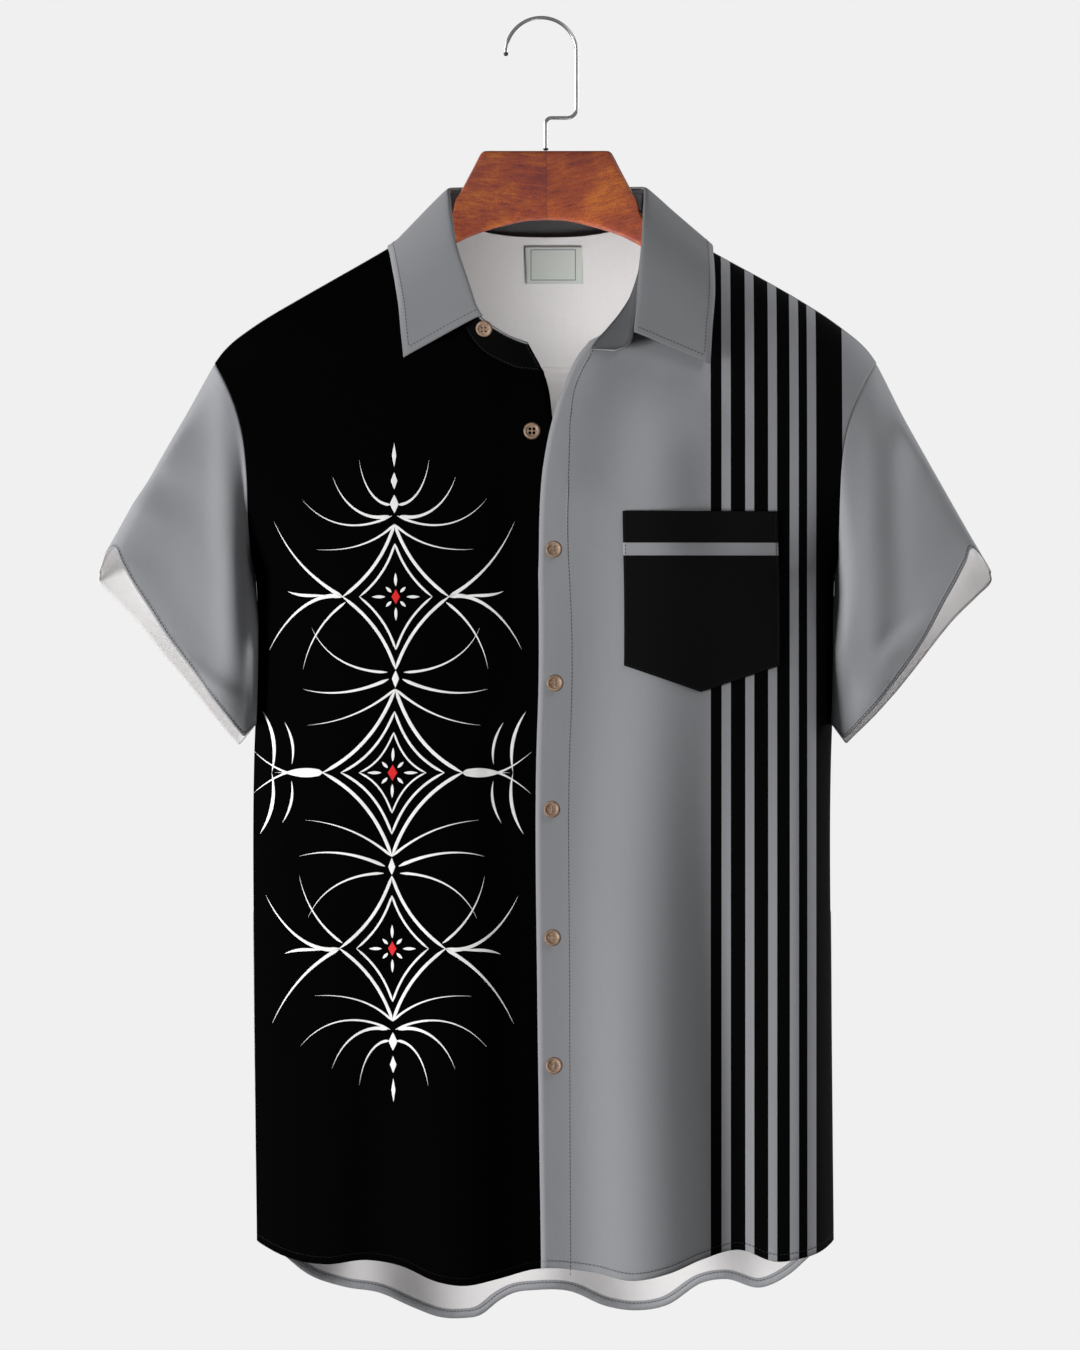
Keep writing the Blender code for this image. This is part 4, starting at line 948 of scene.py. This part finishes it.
def liftedOff(points, clear, rounds=2):
    # each point is moved out along the nearest normal of the cloth below it until it is clear of it
    points = points.copy()
    for row in points:
        for _ in range(rounds):
            nearest = ((row[:, None] - groundPoints[None]) ** 2).sum(-1).argmin(1)
            height = ((row - groundPoints[nearest]) * groundNormals[nearest]).sum(-1)
            row += groundNormals[nearest] * np.maximum(0.0, clear - height)[:, None]
    return points


stand = spread(collar["stand"], collar["finer"])
step = np.linspace(0, 1, collar["standRows"] + 1)[:, None, None]
seam, fold = stand[None, :, :3], stand[None, :, 3:]
rise = unit(fold - seam)
upStand = fold - seam + rise * (collar["lap"] - collar["short"])
standOuter = liftedOff(seam - rise * collar["lap"] + upStand * step, collar["standClear"])
standNormal = -gridNormals(standOuter)
fromFold = np.linalg.norm(standOuter - standOuter[-1:], axis=-1)


def standPrint(start):
    # black like the right front below a thin grey rim, and grey on the left
    belowRim = start.attribute("fromFold") > collar["standPale"]
    onRight = (start.placeAlong(0) < collar["blackTo"]) * (start.placeAlong(1) < collar["blackBefore"])
    return (belowRim * onRight).mix(greyCloth, blackCloth)


standOutside = clothMaterial("collar stand cloth", standPrint, roughness=0.95, sheen=0.0, specular=0.03)
# painted shade: the stand's inside is coloured a dark grey that stands for the shade inside the back of the
# neck
standInsideShaded = clothMaterial("stand inside, painted shade", plain((0.075, 0.077, 0.082)), sheen=0.0)
standPiece = clothShell("collar_stand", standOuter, standNormal, [standOutside, standInsideShaded],
                        thick=collar["thick"], distances={"fromFold": fromFold})

firstRow, lastRow = int(collar["leaf"][0][0]), int(collar["leaf"][-1][0])
edge = spread([row[1:] for row in collar["leaf"]], collar["finer"])
fold = spread([row[3:] for row in collar["stand"][firstRow : lastRow + 1]], collar["finer"])
seam = spread([row[:3] for row in collar["stand"][firstRow : lastRow + 1]], collar["finer"])
rise = unit(fold - seam)
out = unit(edge - fold)
pulls = (fold + rise * 0.2, fold + rise * collar["roll"] + out * 0.5,
         fold + rise * collar["roll"] * 0.4 + out * collar["leafOut"], edge)  # the leaf rolls over the fold
step = (np.linspace(0, 1, collar["leafRows"] + 1) ** 1.4)[:, None, None]
leafUnder = bezier(*pulls, step)
leafUnder[1:] = liftedOff(leafUnder[1:], collar["leafClear"])
leafNormal = gridNormals(leafUnder)
leafNormal = leafNormal if leafNormal[-1, 0, 1] < 0 else -leafNormal
leafOuter = leafUnder + leafNormal * collar["thick"]
leafPiece = clothShell("collar_leaf", leafOuter, leafNormal, [greyPlain, greyPlain],
                       thick=collar["thick"])
turned, turnedNormal = leafOuter[::-1], leafNormal[::-1]
leafRows = [insetLine(turned, turnedNormal, *line) for line in collar["leafLines"]]
standRows = [insetLine(standOuter, standNormal, *line) for line in collar["standLines"]]
standRows += [inside(row, collar["thick"]) for row in standRows]
leafStitches = stitching("stitches_collar_leaf", leafRows, darkThread)
standStitches = stitching("stitches_collar_stand", standRows, darkThread)
print("collar made")

# pocket and label
pocket = {"left": 56.1, "right": 166.4, "top": 354.6, "side": 465.3, "point": 484.2, "band": (377.2, 386.3),
          "rows": 60, "columns": 56, "off": 0.9, "cloth": 0.9, "slack": 1.2,  # slack at the pocket's mouth
          "lines": [("left", 1.6, (1, 2)), ("right", 1.6, (1, 2)), ("bottom", 1.6, (2, 2))]}


def pocketPrint(start):
    # black with one grey band, level across
    drop = start.placeAlong(2) * -1.0
    return ((drop > pocket["band"][0]) * (drop < pocket["band"][1])).mix(blackCloth, greyCloth)


def panelFlat(panel):
    # (across, drop) of a small panel, from its level top down to two straight lower edges that meet in the
    # middle; with the shares across and down
    share = np.linspace(0, 1, panel["columns"] + 1)
    step = np.linspace(0, 1, panel["rows"] + 1)[:, None]
    low = panel["point"] - (panel["point"] - panel["side"]) * np.abs(share - 0.5) * 2
    drop = panel["top"] + (low - panel["top"]) * step
    across = np.broadcast_to(panel["left"] + (panel["right"] - panel["left"]) * share, drop.shape)
    return np.stack([across, drop], -1), share, step


pocketFlat, share, step = panelFlat(pocket)
slack = pocket["slack"] * np.sin(np.pi * share) * np.exp(-4 * step)
pocketOuter, pocketNormal = clothFace(pocketFlat, -1, pocket["off"] + pocket["cloth"] + slack)
pocketMaterial = clothMaterial("pocket cloth", pocketPrint, roughness=0.95, sheen=0.02, specular=0.1)
pocketPiece = clothShell("chest_pocket", pocketOuter, pocketNormal,
                         [pocketMaterial, pocketMaterial], thick=pocket["cloth"], wayIn=-1)
pocketRows = [insetLine(pocketOuter, pocketNormal, *line) for line in pocket["lines"]]
pocketStitches = stitching("stitches_pocket", pocketRows, blackThread)

label = {"left": -16.2, "right": 25.2, "top": 162.6, "side": 189.2, "point": 189.2,
         "rows": 18, "columns": 28, "thick": 0.5, "off": 0.6, "puff": 0.7, "lean": 1.1,
         "ends": 2.2, "border": (2.2, 2.75)}  # the border stands in from the edges, further at the two ends
labelFlat, share, step = panelFlat(label)
labelFace, labelNormal = clothFace(labelFlat, 1, -body["cloth"] - label["off"])
puff = label["puff"] * np.sin(np.pi * step) * np.sin(np.pi * share) ** 0.5
labelFace = labelFace - labelNormal * puff[..., None]


def labelPrint(start):
    # woven satin with a narrow darker border, by place on the label
    middle = body["middle"] + (label["left"] + label["right"]) / 2 + label["lean"]
    fromSide = (label["right"] - label["left"]) / 2 - abs(start.placeAlong(0) - middle)
    middle = (label["top"] + label["side"]) / 2
    fromEnd = (label["side"] - label["top"]) / 2 - abs(start.placeAlong(2) + middle)
    inFrame = start.sums("MINIMUM", fromSide - label["ends"], fromEnd)
    border = (inFrame > label["border"][0]) * (inFrame < label["border"][1])
    return border.mix((0.375, 0.40, 0.37), (0.04, 0.045, 0.075))


labelMaterial = clothMaterial("label satin", labelPrint, roughness=0.5, sheen=0.2, specular=0.4)
labelPiece = clothShell("neck_label", labelFace, -labelNormal, [labelMaterial, labelMaterial],
                        thick=label["thick"])
print("pocket and label made")

# printed ornament on the black front
ornament = {
    "across": -107.0, "drop": 542.0, "lift": 0.2, "sunk": 0.12, "steps": 26, "narrowest": 0.03,
    "strokes": [  # four control points as (out, down) from the middle; width; taper; mirrored down as well
        ((0, -60), (8, -37), (22, -14), (50, 0), 2.7, "line", True),  # the middle lozenge, three deep
        ((0, -44), (6, -27), (16, -10), (37, 0), 2.0, "line", True),
        ((0, -29), (4, -18), (10, -6), (24, 0), 1.5, "line", True),
        ((0, -60), (14, -48), (34, -36), (62, -34), 2.2, "tail", True),
        ((50, 0), (62, 4), (78, 4), (99, -15), 3.4, "tail", True),
        ((54, 0), (62, 0), (70, 0), (84, 0), 4.2, "drop", False),
        ((0, -178), (6, -160), (16, -142), (38, -126), 2.5, "line", True),  # the upper and lower lozenges
        ((0, -74), (6, -92), (16, -110), (38, -126), 2.5, "line", True),
        ((0, -164), (4, -152), (10, -139), (26, -126), 1.8, "line", True),
        ((0, -88), (4, -100), (10, -113), (26, -126), 1.8, "line", True),
        ((0, -178), (12, -166), (30, -158), (56, -160), 2.0, "tail", True),
        ((38, -126), (54, -130), (76, -118), (90, -88), 3.6, "tail", True),  # scrolls at their sides
        ((38, -126), (52, -134), (72, -148), (86, -180), 3.2, "tail", True),
        ((36, -122), (50, -112), (62, -96), (66, -74), 2.2, "tail", True),
        ((48, -127), (60, -127), (68, -126), (77, -130), 2.4, "spindle", True),
        ((5, -67), (24, -58), (46, -54), (66, -60), 2.8, "tail", True),
        ((6, -72), (26, -72), (50, -80), (60, -104), 2.2, "tail", True),
        ((4, -184), (18, -180), (36, -188), (44, -212), 3.0, "tail", True),
        ((3, -192), (12, -192), (22, -202), (25, -224), 2.4, "tail", True),
        ((2, -184), (26, -172), (50, -176), (66, -196), 2.0, "tail", True),
        ((94, -44), (85, -30), (83, -16), (86, 0), 2.6, "spindle", True),
        ((78, -36), (72, -26), (70, -16), (72, -6), 2.0, "spindle", True),
        ((0, -199), (0, -196), (0, -189), (0, -186), 7.0, "diamond", True),
        ((0, -215), (0, -212), (0, -206), (0, -203), 5.2, "diamond", True),
        ((0, -236), (0, -231), (0, -223), (0, -219), 3.4, "diamond", True),
        ((0, -73), (0, -71), (0, -64), (0, -61), 5.6, "diamond", True),
    ],
    "stars": [(0, 18.0, 11.0), (-126, 17.0, 10.0), (126, 17.0, 10.0)],  # drop, long rays, short rays
    "rayWidth": 2.4, "red": [(0, 7.6, 11.5), (-126, 6.8, 10.5), (126, 6.8, 10.5)],  # drop, width, height
}
strokeShapes = {
    "line": lambda t: np.clip(np.minimum(t, 1 - t) * 9 + 0.25, 0, 1),
    "spindle": lambda t: np.sin(np.pi * t) ** 0.8,
    "tail": lambda t: np.clip(t * 12 + 0.2, 0, 1) * (1 - t) ** 0.75,
    "drop": lambda t: np.clip(t * 5, 0, 1) * (1 - t),
    "diamond": lambda t: 1 - np.abs(2 * t - 1),
}


def starRays(middle, long, short):
    # eight rays, every second one shorter, starting clear of the red middle
    rays = []
    for k in range(8):
        way = np.array([math.sin(k * math.pi / 4), math.cos(k * math.pi / 4)])
        reach = long if k % 2 == 0 else short
        ends = [np.array([0.0, middle]) + way * (reach * share) for share in (0.45, 0.6, 0.8, 1.0)]
        rays.append((*ends, ornament["rayWidth"], "spindle"))
    return rays


def brushMesh(name, strokes, material):
    # each stroke is a Bezier curve with a width that changes along it, laid on the front as a thin raised
    # ribbon
    t = np.linspace(0, 1, ornament["steps"] + 1)[None, :, None]
    p = np.array([stroke[:4] for stroke in strokes], float)[:, :, None]
    line = bezier(p[:, 0], p[:, 1], p[:, 2], p[:, 3], t)
    way = unit(np.gradient(line, axis=1))
    side = np.stack([-way[..., 1], way[..., 0]], -1)
    wide = np.array([stroke[4] * strokeShapes[stroke[5]](t[0, :, 0]) for stroke in strokes])[..., None] / 2
    wide = np.maximum(wide, ornament["narrowest"])
    lift, sunk = ornament["lift"], ornament["sunk"]
    corners = []
    for share, high in [(-1.0, -sunk), (-0.8, lift), (0.8, lift), (1.0, -sunk)]:
        flat = line + side * wide * share + (ornament["across"], ornament["drop"])
        point, normal = clothFace(flat, -1)
        point[..., 1] += tucked(flat[..., 0])
        corners.append(point + normal * high)
    grid = np.stack(corners, 2)  # stroke, step, corner
    count, steps = grid.shape[:2]
    number = np.arange(count * steps * 4).reshape(count, steps, 4)
    after = np.roll(number, -1, axis=2)
    walls = np.stack([number[:, :-1], number[:, 1:], after[:, 1:], after[:, :-1]], -1).reshape(-1, 4)
    faces = walls.tolist() + number[:, 0, ::-1].tolist() + number[:, -1].tolist()
    return closedPiece(name, toWorld(grid.reshape(-1, 3)), faces, material, 25)


def printMaterial(name, colour):
    # screen print: a slightly uneven coat that takes up the weave
    material, shader, start = newMaterial(name, 0.7, specular=0.2)
    coat = start.noise(start.objectPlace(), 120.0, 4.0)
    grain = start.noise(start.objectPlace(), 1500.0, 1.0)
    uneven = coat.ease(0.25, 0.75).mix([c * 0.86 for c in colour], colour)
    useColour(material, shader, uneven, grain, 0.02 * mm)
    return material


strokes = []
for *points, width, shape, alsoDown in ornament["strokes"]:
    for out in (1, -1) if any(point[0] for point in points) else (1,):
        for down in (1, -1) if alsoDown else (1,):
            strokes.append((*[(point[0] * out, point[1] * down) for point in points], width, shape))
for star in ornament["stars"]:
    strokes += starRays(*star)
thirds = (-1 / 2, -1 / 6, 1 / 6, 1 / 2)
redStrokes = [(*[(0, middle + high * share) for share in thirds], width, "diamond")
              for middle, width, high in ornament["red"]]
whitePrint = brushMesh("ornament_white", strokes, printMaterial("white print", (0.80, 0.80, 0.79)))
redPrint = brushMesh("ornament_red", redStrokes, printMaterial("red print", (0.62, 0.012, 0.014)))
print("ornament printed:", len(strokes) + len(redStrokes), "strokes")

# hanger
hanger = {
    "bar": [  # across, top drop, bottom drop, half thickness
        (0, 94.7, 144.4, 6.5), (15, 94.7, 145.3, 6.5), (32, 94.7, 149.0, 6.5), (43, 94.7, 152.2, 6.5),
        (46, 95.6, 153.2, 6.5), (48.2, 98.3, 154.0, 6.5), (52.6, 106.9, 155.6, 6.5),
        (57.2, 115.6, 157.6, 6.6), (61.8, 124.2, 160.0, 6.8), (65.4, 130.0, 161.8, 7.0),
        (67.0, 137.0, 163.0, 7.0), (69.6, 142.2, 164.4, 7.1), (74.0, 145.4, 166.4, 7.3),
        (81, 149.4, 170.2, 7.6), (95, 159.2, 178.5, 8.2), (115, 172.4, 190.5, 9.0),
        (140, 187.4, 205.0, 9.8), (165, 201.8, 219.5, 10.2), (188, 215.2, 232.5, 10.0),
        (203, 225.0, 240.5, 9.0), (211, 231.0, 243.5, 7.0), (214.5, 235.5, 241.5, 3.5)],
    "seam": 0.7, "line": 0.22, "finer": 4, "around": 48, "round": 0.3,
    "grainTurn": (15.0, 5.0),  # degrees the grain falls along the left and the right arm
}
hook = {"wire": 1.3, "radius": 25.5, "stem": 3.2, "run": 70.9, "corner": 7.0, "bend": 4.0, "foot": 94.5,
        "around": 14, "tip": 1.75, "ferrule": 1.95, "ferruleHigh": 1.1}


def ringSolid(name, rings, material):
    # a closed body through rings of points, its two ends drawn in to a middle point
    rings = np.concatenate([np.broadcast_to(rings[:1].mean(1, keepdims=True), rings[:1].shape), rings,
                            np.broadcast_to(rings[-1:].mean(1, keepdims=True), rings[-1:].shape)])
    return closedPiece(name, rings.reshape(-1, 3) * mm, ringFaces(*rings.shape[:2]), material, 50)


def woodMaterial(name, fall, dark, middle, light):
    # varnished wood: a grain stretched along the arm, fine pores in it and soft blotches of stain
    material, shader, start = newMaterial(name, 0.38, coat=0.35, specular=0.4)
    shader.inputs["Coat Roughness"].default_value = 0.3
    where = start.objectPlace()
    turned = start.add("ShaderNodeMapping", {}, {"Vector": where, "Rotation": (0.0, math.radians(fall), 0.0)})
    grain = start.noise(start.stretched(turned, (16.0, 60.0, 150.0)), 1.0, 7.0, Roughness=0.68,
                        Distortion=0.9)
    fine = start.noise(start.stretched(turned, (110.0, 500.0, 900.0)), 1.0, 4.0, Roughness=0.65)
    stain = start.noise(where, 21.0, 4.0, Roughness=0.6)
    speckle = start.noise(where, 950.0, 2.0)
    tone = grain * 0.34 + fine * 0.36 + stain * 0.72 + speckle * 0.34 - 0.38
    stops = [(0.34, dark), (0.5, middle), (0.66, light)]
    colour = tone.add("ShaderNodeValToRGB", {"stops": stops}, {"Fac": tone})
    pores = 1.0 - fine.ease(0.30, 0.44)
    colour = (pores * 0.5).mix(colour, (dark[0] * 0.55, dark[1] * 0.5, dark[2] * 0.6))
    fromSeam = abs(start.placeAlong(0) - body["middle"] - hanger["seam"])
    colour = ((fromSeam < hanger["line"]) * 0.5).mix(colour, (0.02, 0.008, 0.006))
    useColour(material, shader, colour, grain * 0.6 + fine * 0.4, 0.08 * mm, roughness=0.30 + stain * 0.18)
    return material


woods = {
    "hanger_left": woodMaterial("varnished wood, lighter", hanger["grainTurn"][0], (0.165, 0.026, 0.015),
                                (0.285, 0.058, 0.016), (0.46, 0.135, 0.018)),
    "hanger_right": woodMaterial("varnished wood, darker", -hanger["grainTurn"][1], (0.135, 0.020, 0.020),
                                 (0.245, 0.046, 0.017), (0.41, 0.118, 0.017)),
}
turn = np.linspace(0, 2 * np.pi, hanger["around"], endpoint=False) + np.pi / hanger["around"]
roundIn, roundUp = signedPower(np.cos(turn), hanger["round"]), signedPower(np.sin(turn), hanger["round"])
bar = spread(hanger["bar"], hanger["finer"])
for name, mirror in (("hanger_left", 1), ("hanger_right", -1)):
    across, top, bottom, thick = (bar[:, k, None] for k in range(4))
    across = across * mirror + hanger["seam"] + body["middle"]
    rings = np.stack([np.broadcast_to(across, (len(bar), len(turn))), thick * roundIn,
                      -(top + bottom) / 2 + (bottom - top) / 2 * roundUp], -1)
    half = ringSolid(name + "_wood", rings, woods[name])
    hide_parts(name)


def metalMaterial(name, metallic, roughness, uneven, scale, dark, light, relief):
    # scuffed metal, dull and bright in fine patches
    material, shader, start = newMaterial(name, roughness, metallic=metallic)
    scuffs = start.noise(start.objectPlace(), scale, 3.0)
    useColour(material, shader, scuffs.mix(dark, light), scuffs, relief * mm,
              roughness=roughness + scuffs * uneven)
    return material


wire = metalMaterial("polished wire", 1.0, 0.14, 0.16, 700.0, (0.31, 0.31, 0.32), (0.44, 0.44, 0.45), 0.02)
darkMetal = metalMaterial("darkened metal", 0.6, 0.45, 0.0, 500.0, (0.018, 0.016, 0.015),
                          (0.045, 0.04, 0.036), 0.03)

# the hook's line: an open round crown, an upright, a level run back to the middle, and the stem
t = np.linspace(-0.02, math.pi, 72)
radius, corner, bend, run = hook["radius"], hook["corner"], hook["bend"], hook["run"]
crown = np.stack([-radius * np.cos(t), radius * np.sin(t) - radius + hook["wire"]], -1)
t = np.linspace(0, math.pi / 2, 14)
low = np.stack([radius - corner * (1 - np.cos(t)), -run + corner * (1 - np.sin(t))], -1)
high = np.stack([hook["stem"] + bend * (1 - np.sin(t)), -run - bend * (1 - np.cos(t))], -1)
down = np.stack([np.full(6, hook["stem"]), np.linspace(-run - bend - 1, -hook["foot"] + 0.4, 6)], -1)
line = np.concatenate([crown, low, high, down])
ahead = unit(np.gradient(line, axis=0))
turn = np.linspace(0, 2 * np.pi, hook["around"], endpoint=False)
rings = np.stack([line[:, :1] - ahead[:, 1:] * hook["wire"] * np.cos(turn),
                  np.broadcast_to(hook["wire"] * np.sin(turn), (len(line), len(turn))),
                  line[:, 1:] + ahead[:, :1] * hook["wire"] * np.cos(turn)], -1)
hookPiece = ringSolid("hook_wire", rings, wire)
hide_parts("hook")


def turnedSolid(name, profile, across, up, material, slot):
    # a profile of (radius, height) turned about an upright axis
    around = np.linspace(0, 2 * np.pi, 28, endpoint=False)
    profile = np.asarray(profile, float)
    rings = np.stack([across + profile[:, :1] * np.cos(around), profile[:, :1] * np.sin(around),
                      np.broadcast_to(up + profile[:, 1:], (len(profile), len(around)))], -1)
    return ringSolid(name, rings, material)


t = np.linspace(0.06, math.pi - 0.06, 15)
ball = np.stack([np.sin(t), -np.cos(t)], -1)
turnedSolid("hook_tip", ball * hook["tip"], *crown[0], darkMetal, "ferrule")
high = hook["ferruleHigh"]
ferrule = turnedSolid("hook_foot", ball * (hook["ferrule"], high) + (0, high), hook["stem"], -hook["foot"],
                      darkMetal, "ferrule")
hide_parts("hook_ferrule")
print("hanger and hook made")

# buttons
button = {"radius": 6.1, "thick": 2.4, "rows": 44, "around": 96,
          "rim": 5.0, "fall": 0.9, "fallPower": 2.4,  # outside the rim it falls away
          "dish": 0.75, "dishFrom": (3.3, 4.6),
          "holeOut": 2.0, "hole": 1.05, "pit": 1.8, "holeEdge": (0.82, 1.12),
          "turned": 0.35, "clear": 0.7,
          "underside": [  # share of the radius, height
              (1.0, 0.85), (0.985, 0.3), (0.9, 0.0), (0.45, 0.0), (0.0, 0.0)]}
horn, hornShader, hornStart = newMaterial("brown button", 0.42, specular=0.45)
cloud = hornStart.noise(hornStart.objectPlace(), 260.0, 4.0, Distortion=0.8)
streak = hornStart.noise(hornStart.stretched(hornStart.objectPlace(), (160.0, 160.0, 900.0)), 1.0, 2.0)
pit, rim = hornStart.attribute("pit"), hornStart.attribute("rim")
hornColourAndShade = (cloud * 0.6 + streak * 0.4).ease(0.32, 0.68).mix((0.17, 0.105, 0.068), (0.33, 0.225, 0.155))
# the rim is coloured darker: partly the button's own darker ring, partly painted shade against its highlight
hornColourAndShade = (rim * 0.75).mix(hornColourAndShade, (0.115, 0.066, 0.042))
# painted shade: the four pits are coloured near black
hornColourAndShade = pit.mix(hornColourAndShade, (0.006, 0.005, 0.004))
useColour(horn, hornShader, hornColourAndShade, cloud * 0.5 + streak * 0.5, 0.05 * mm,
          roughness=0.40 + cloud * 0.16 + pit * 0.4)


def makeButton(node):
    # a height for each radius and angle: a rim that falls away, a dished middle and four pits; the button
    # stands a little clear of the CAD disc's base
    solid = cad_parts[node].data
    points = np.empty(len(solid.vertices) * 3, np.float32)
    solid.vertices.foreach_get("co", points)
    points = np.unique(points.reshape(-1, 3).astype(float).round(7), axis=0)
    centre = (points.max(0) + points.min(0)) / 2
    out = np.linalg.svd(points - points.mean(0))[2][2]
    out = out if out[1] < 0 else -out
    base = ((points - centre) @ out).min() + button["clear"] * mm
    out = unit(out * (button["turned"], 1, 1))  # sewn on loosely, so it faces forward more than the cloth
    right = unit(np.cross((0.0, 0.0, 1.0), out))
    upward = np.cross(out, right)
    underShare, underHeight = columnsOf(button["underside"])
    r = button["radius"] * np.r_[np.linspace(0, 1, button["rows"]) ** 0.8, underShare]
    angle = np.linspace(0, 2 * np.pi, button["around"], endpoint=False)
    x, y = r[:, None] * np.cos(angle), r[:, None] * np.sin(angle)
    edge = np.clip((r - button["rim"]) / (button["radius"] - button["rim"]), 0, 1)[:, None]
    dished = 1 - easeIn(*button["dishFrom"], r)[:, None]
    height = button["thick"] - button["fall"] * edge ** button["fallPower"] - button["dish"] * dished
    height = height * np.ones_like(x)
    pits = np.zeros_like(x)
    for k in range(4):
        away = math.pi / 4 + k * math.pi / 2
        hx, hy = button["holeOut"] * math.cos(away), button["holeOut"] * math.sin(away)
        pits = np.maximum(pits, 1 - easeIn(*button["holeEdge"], np.hypot(x - hx, y - hy) / button["hole"]))
    height = height - button["pit"] * pits
    height[-len(underHeight) :] = underHeight[:, None]
    pits[-len(underHeight) :] = 0
    points = centre + mm * (x[..., None] * right + y[..., None] * upward)
    points = points + out * (base + height[..., None] * mm)
    # pit and rim mark where the painted shade goes
    marks = {"pit": pits.ravel(), "rim": (edge * np.ones_like(x)).ravel()}
    piece = closedPiece(node + "_horn", points.reshape(-1, 3), ringFaces(*x.shape), horn, 50, marks)
    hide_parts(node)
    return piece.name


buttonPieces = [makeButton(f"button_{k + 1}") for k in range(7)]
print("buttons made")

hangerPieces = ["hanger_right_wood", "hanger_left_wood"]

# camera, stage and light
studio = {"across": -0.00094, "middle": -0.472, "high": 0.972, "away": 16.0, "floor": -2.6,
          "backdrop": 0.871, "fill": 0.05, "shine": 0.25, "floorGlow": 0.62}
camera = bpy.data.objects.new("camera", bpy.data.cameras.new("camera"))
camera.data.lens = 36 * studio["away"] / studio["high"]
camera.data.clip_end = 100
camera.location = (studio["across"], -studio["away"], studio["middle"])
camera.rotation_euler = (math.pi / 2, 0, 0)
bpy.context.scene.collection.objects.link(camera)
bpy.context.scene.camera = camera

bpy.ops.mesh.primitive_circle_add(vertices=64, radius=24, fill_type="NGON", location=(0, 0, studio["floor"]))
floor = bpy.context.object
floor.name = "studio_floor"
floorMaterial, floorShader, _ = newMaterial("floor", 0.9)
floorShader.inputs["Base Color"].default_value = (0.5, 0.5, 0.5, 1)
floorShader.inputs["Emission Color"].default_value = (1, 1, 1, 1)
floorShader.inputs["Emission Strength"].default_value = studio["floorGlow"]
floor.data.materials.append(floorMaterial)
floor.visible_diffuse = False  # it is seen, and throws no light up on the cloth
floor.visible_glossy = False
floor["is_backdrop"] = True

world = bpy.context.scene.world or bpy.data.worlds.new("studio")
bpy.context.scene.world = world
world.use_nodes = True
sky = world.node_tree.nodes["Background"]
seen = world.node_tree.nodes.new("ShaderNodeLightPath")
strength = (Sum(world.node_tree, seen.outputs["Is Camera Ray"]) * (studio["backdrop"] - studio["fill"])
            + Sum(world.node_tree, seen.outputs["Is Glossy Ray"]) * studio["shine"] + studio["fill"])
world.node_tree.links.new(strength.socket, sky.inputs["Strength"])
sky.inputs["Color"].default_value = (1, 1, 1, 1)


def lightGroup(name, pieces, state):
    # the pieces that a lamp's light or shadow is kept to, or kept off
    group = bpy.data.collections.new(name)
    for piece in pieces:
        group.objects.link(bpy.data.objects[piece])
    for member in group.collection_objects:
        member.light_linking.link_state = state
    return group


collarPieces = [leafPiece.name, leafStitches.name]
hangerAlone = lightGroup("hanger alone", hangerPieces, "INCLUDE")
collarAlone = lightGroup("collar alone", collarPieces, "INCLUDE")
otherPieces = lightGroup("all but the hanger and the collar", [*hangerPieces, *collarPieces], "EXCLUDE")
leftShoulder = lightGroup("left shoulder", [leftFront.name, leftSleeve.name], "INCLUDE")
notButtons = lightGroup("all but the buttons", buttonPieces, "EXCLUDE")
middle = (0, 0, -0.5)
lamps = [  # name, place, what it looks at, size, watts, pieces it lights, pieces that shade them
    ("key", (-5.2, -3.29, -1.6), middle, 1.8, 585.0, otherPieces, notButtons),
    ("key on the hanger", (-5.2, -3.29, -1.6), middle, 1.8, 520.0, hangerAlone, hangerAlone),
    ("key on the collar", (-4.35, -4.35, -1.6), middle, 1.8, 335.0, collarAlone, notButtons),
    ("front", (-0.9, -5.0, 0.8), middle, 2.5, 7.0, None, None),
    ("right", (3.0, -3.2, 2.4), middle, 2.0, 47.0, None, None),
    ("side right", (3.4, 0.5, -0.1), middle, 1.6, 62.0, None, None),
    ("over the left shoulder", (1.6, -0.5, 3.0), (0.3, 0, -0.35), 1.2, 42.0, leftShoulder, None),
    ("rear left", (-3.4, 1.7, 0.4), middle, 1.4, 120.0, None, None),
    ("rear right", (2.2, 2.8, 0.2), middle, 2.4, 20.0, None, None),
    ("in the neck", (0.05, -0.03, -0.24), (0.015, 0.04, -0.16), 0.06, 0.128, None, None),
    ("in the hem", (0.0, -0.01, -0.80), (0.0, 0.1, -0.96), 0.1, 0.1, None, None),
    ("in the right sleeve", (-0.235, -0.01, -0.37), (-0.31, 0.03, -0.40), 0.05, 0.055, None, None),
    ("in the left sleeve", (0.24, -0.01, -0.36), (0.305, 0.06, -0.44), 0.05, 0.088, None, None),
]
for name, place, target, size, watts, lit, shading in lamps:
    lamp = bpy.data.objects.new(name, bpy.data.lights.new(name, "AREA"))
    lamp.data.size = size
    lamp.data.energy = watts
    lamp.visible_camera = False
    lamp.location = place
    lamp.rotation_euler = (Vector(target) - lamp.location).to_track_quat("-Z", "Y").to_euler()
    lamp.light_linking.receiver_collection = lit
    lamp.light_linking.blocker_collection = shading
    bpy.context.scene.collection.objects.link(lamp)
bpy.context.scene.view_settings.view_transform = "Standard"
print("studio made")

low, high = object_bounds()
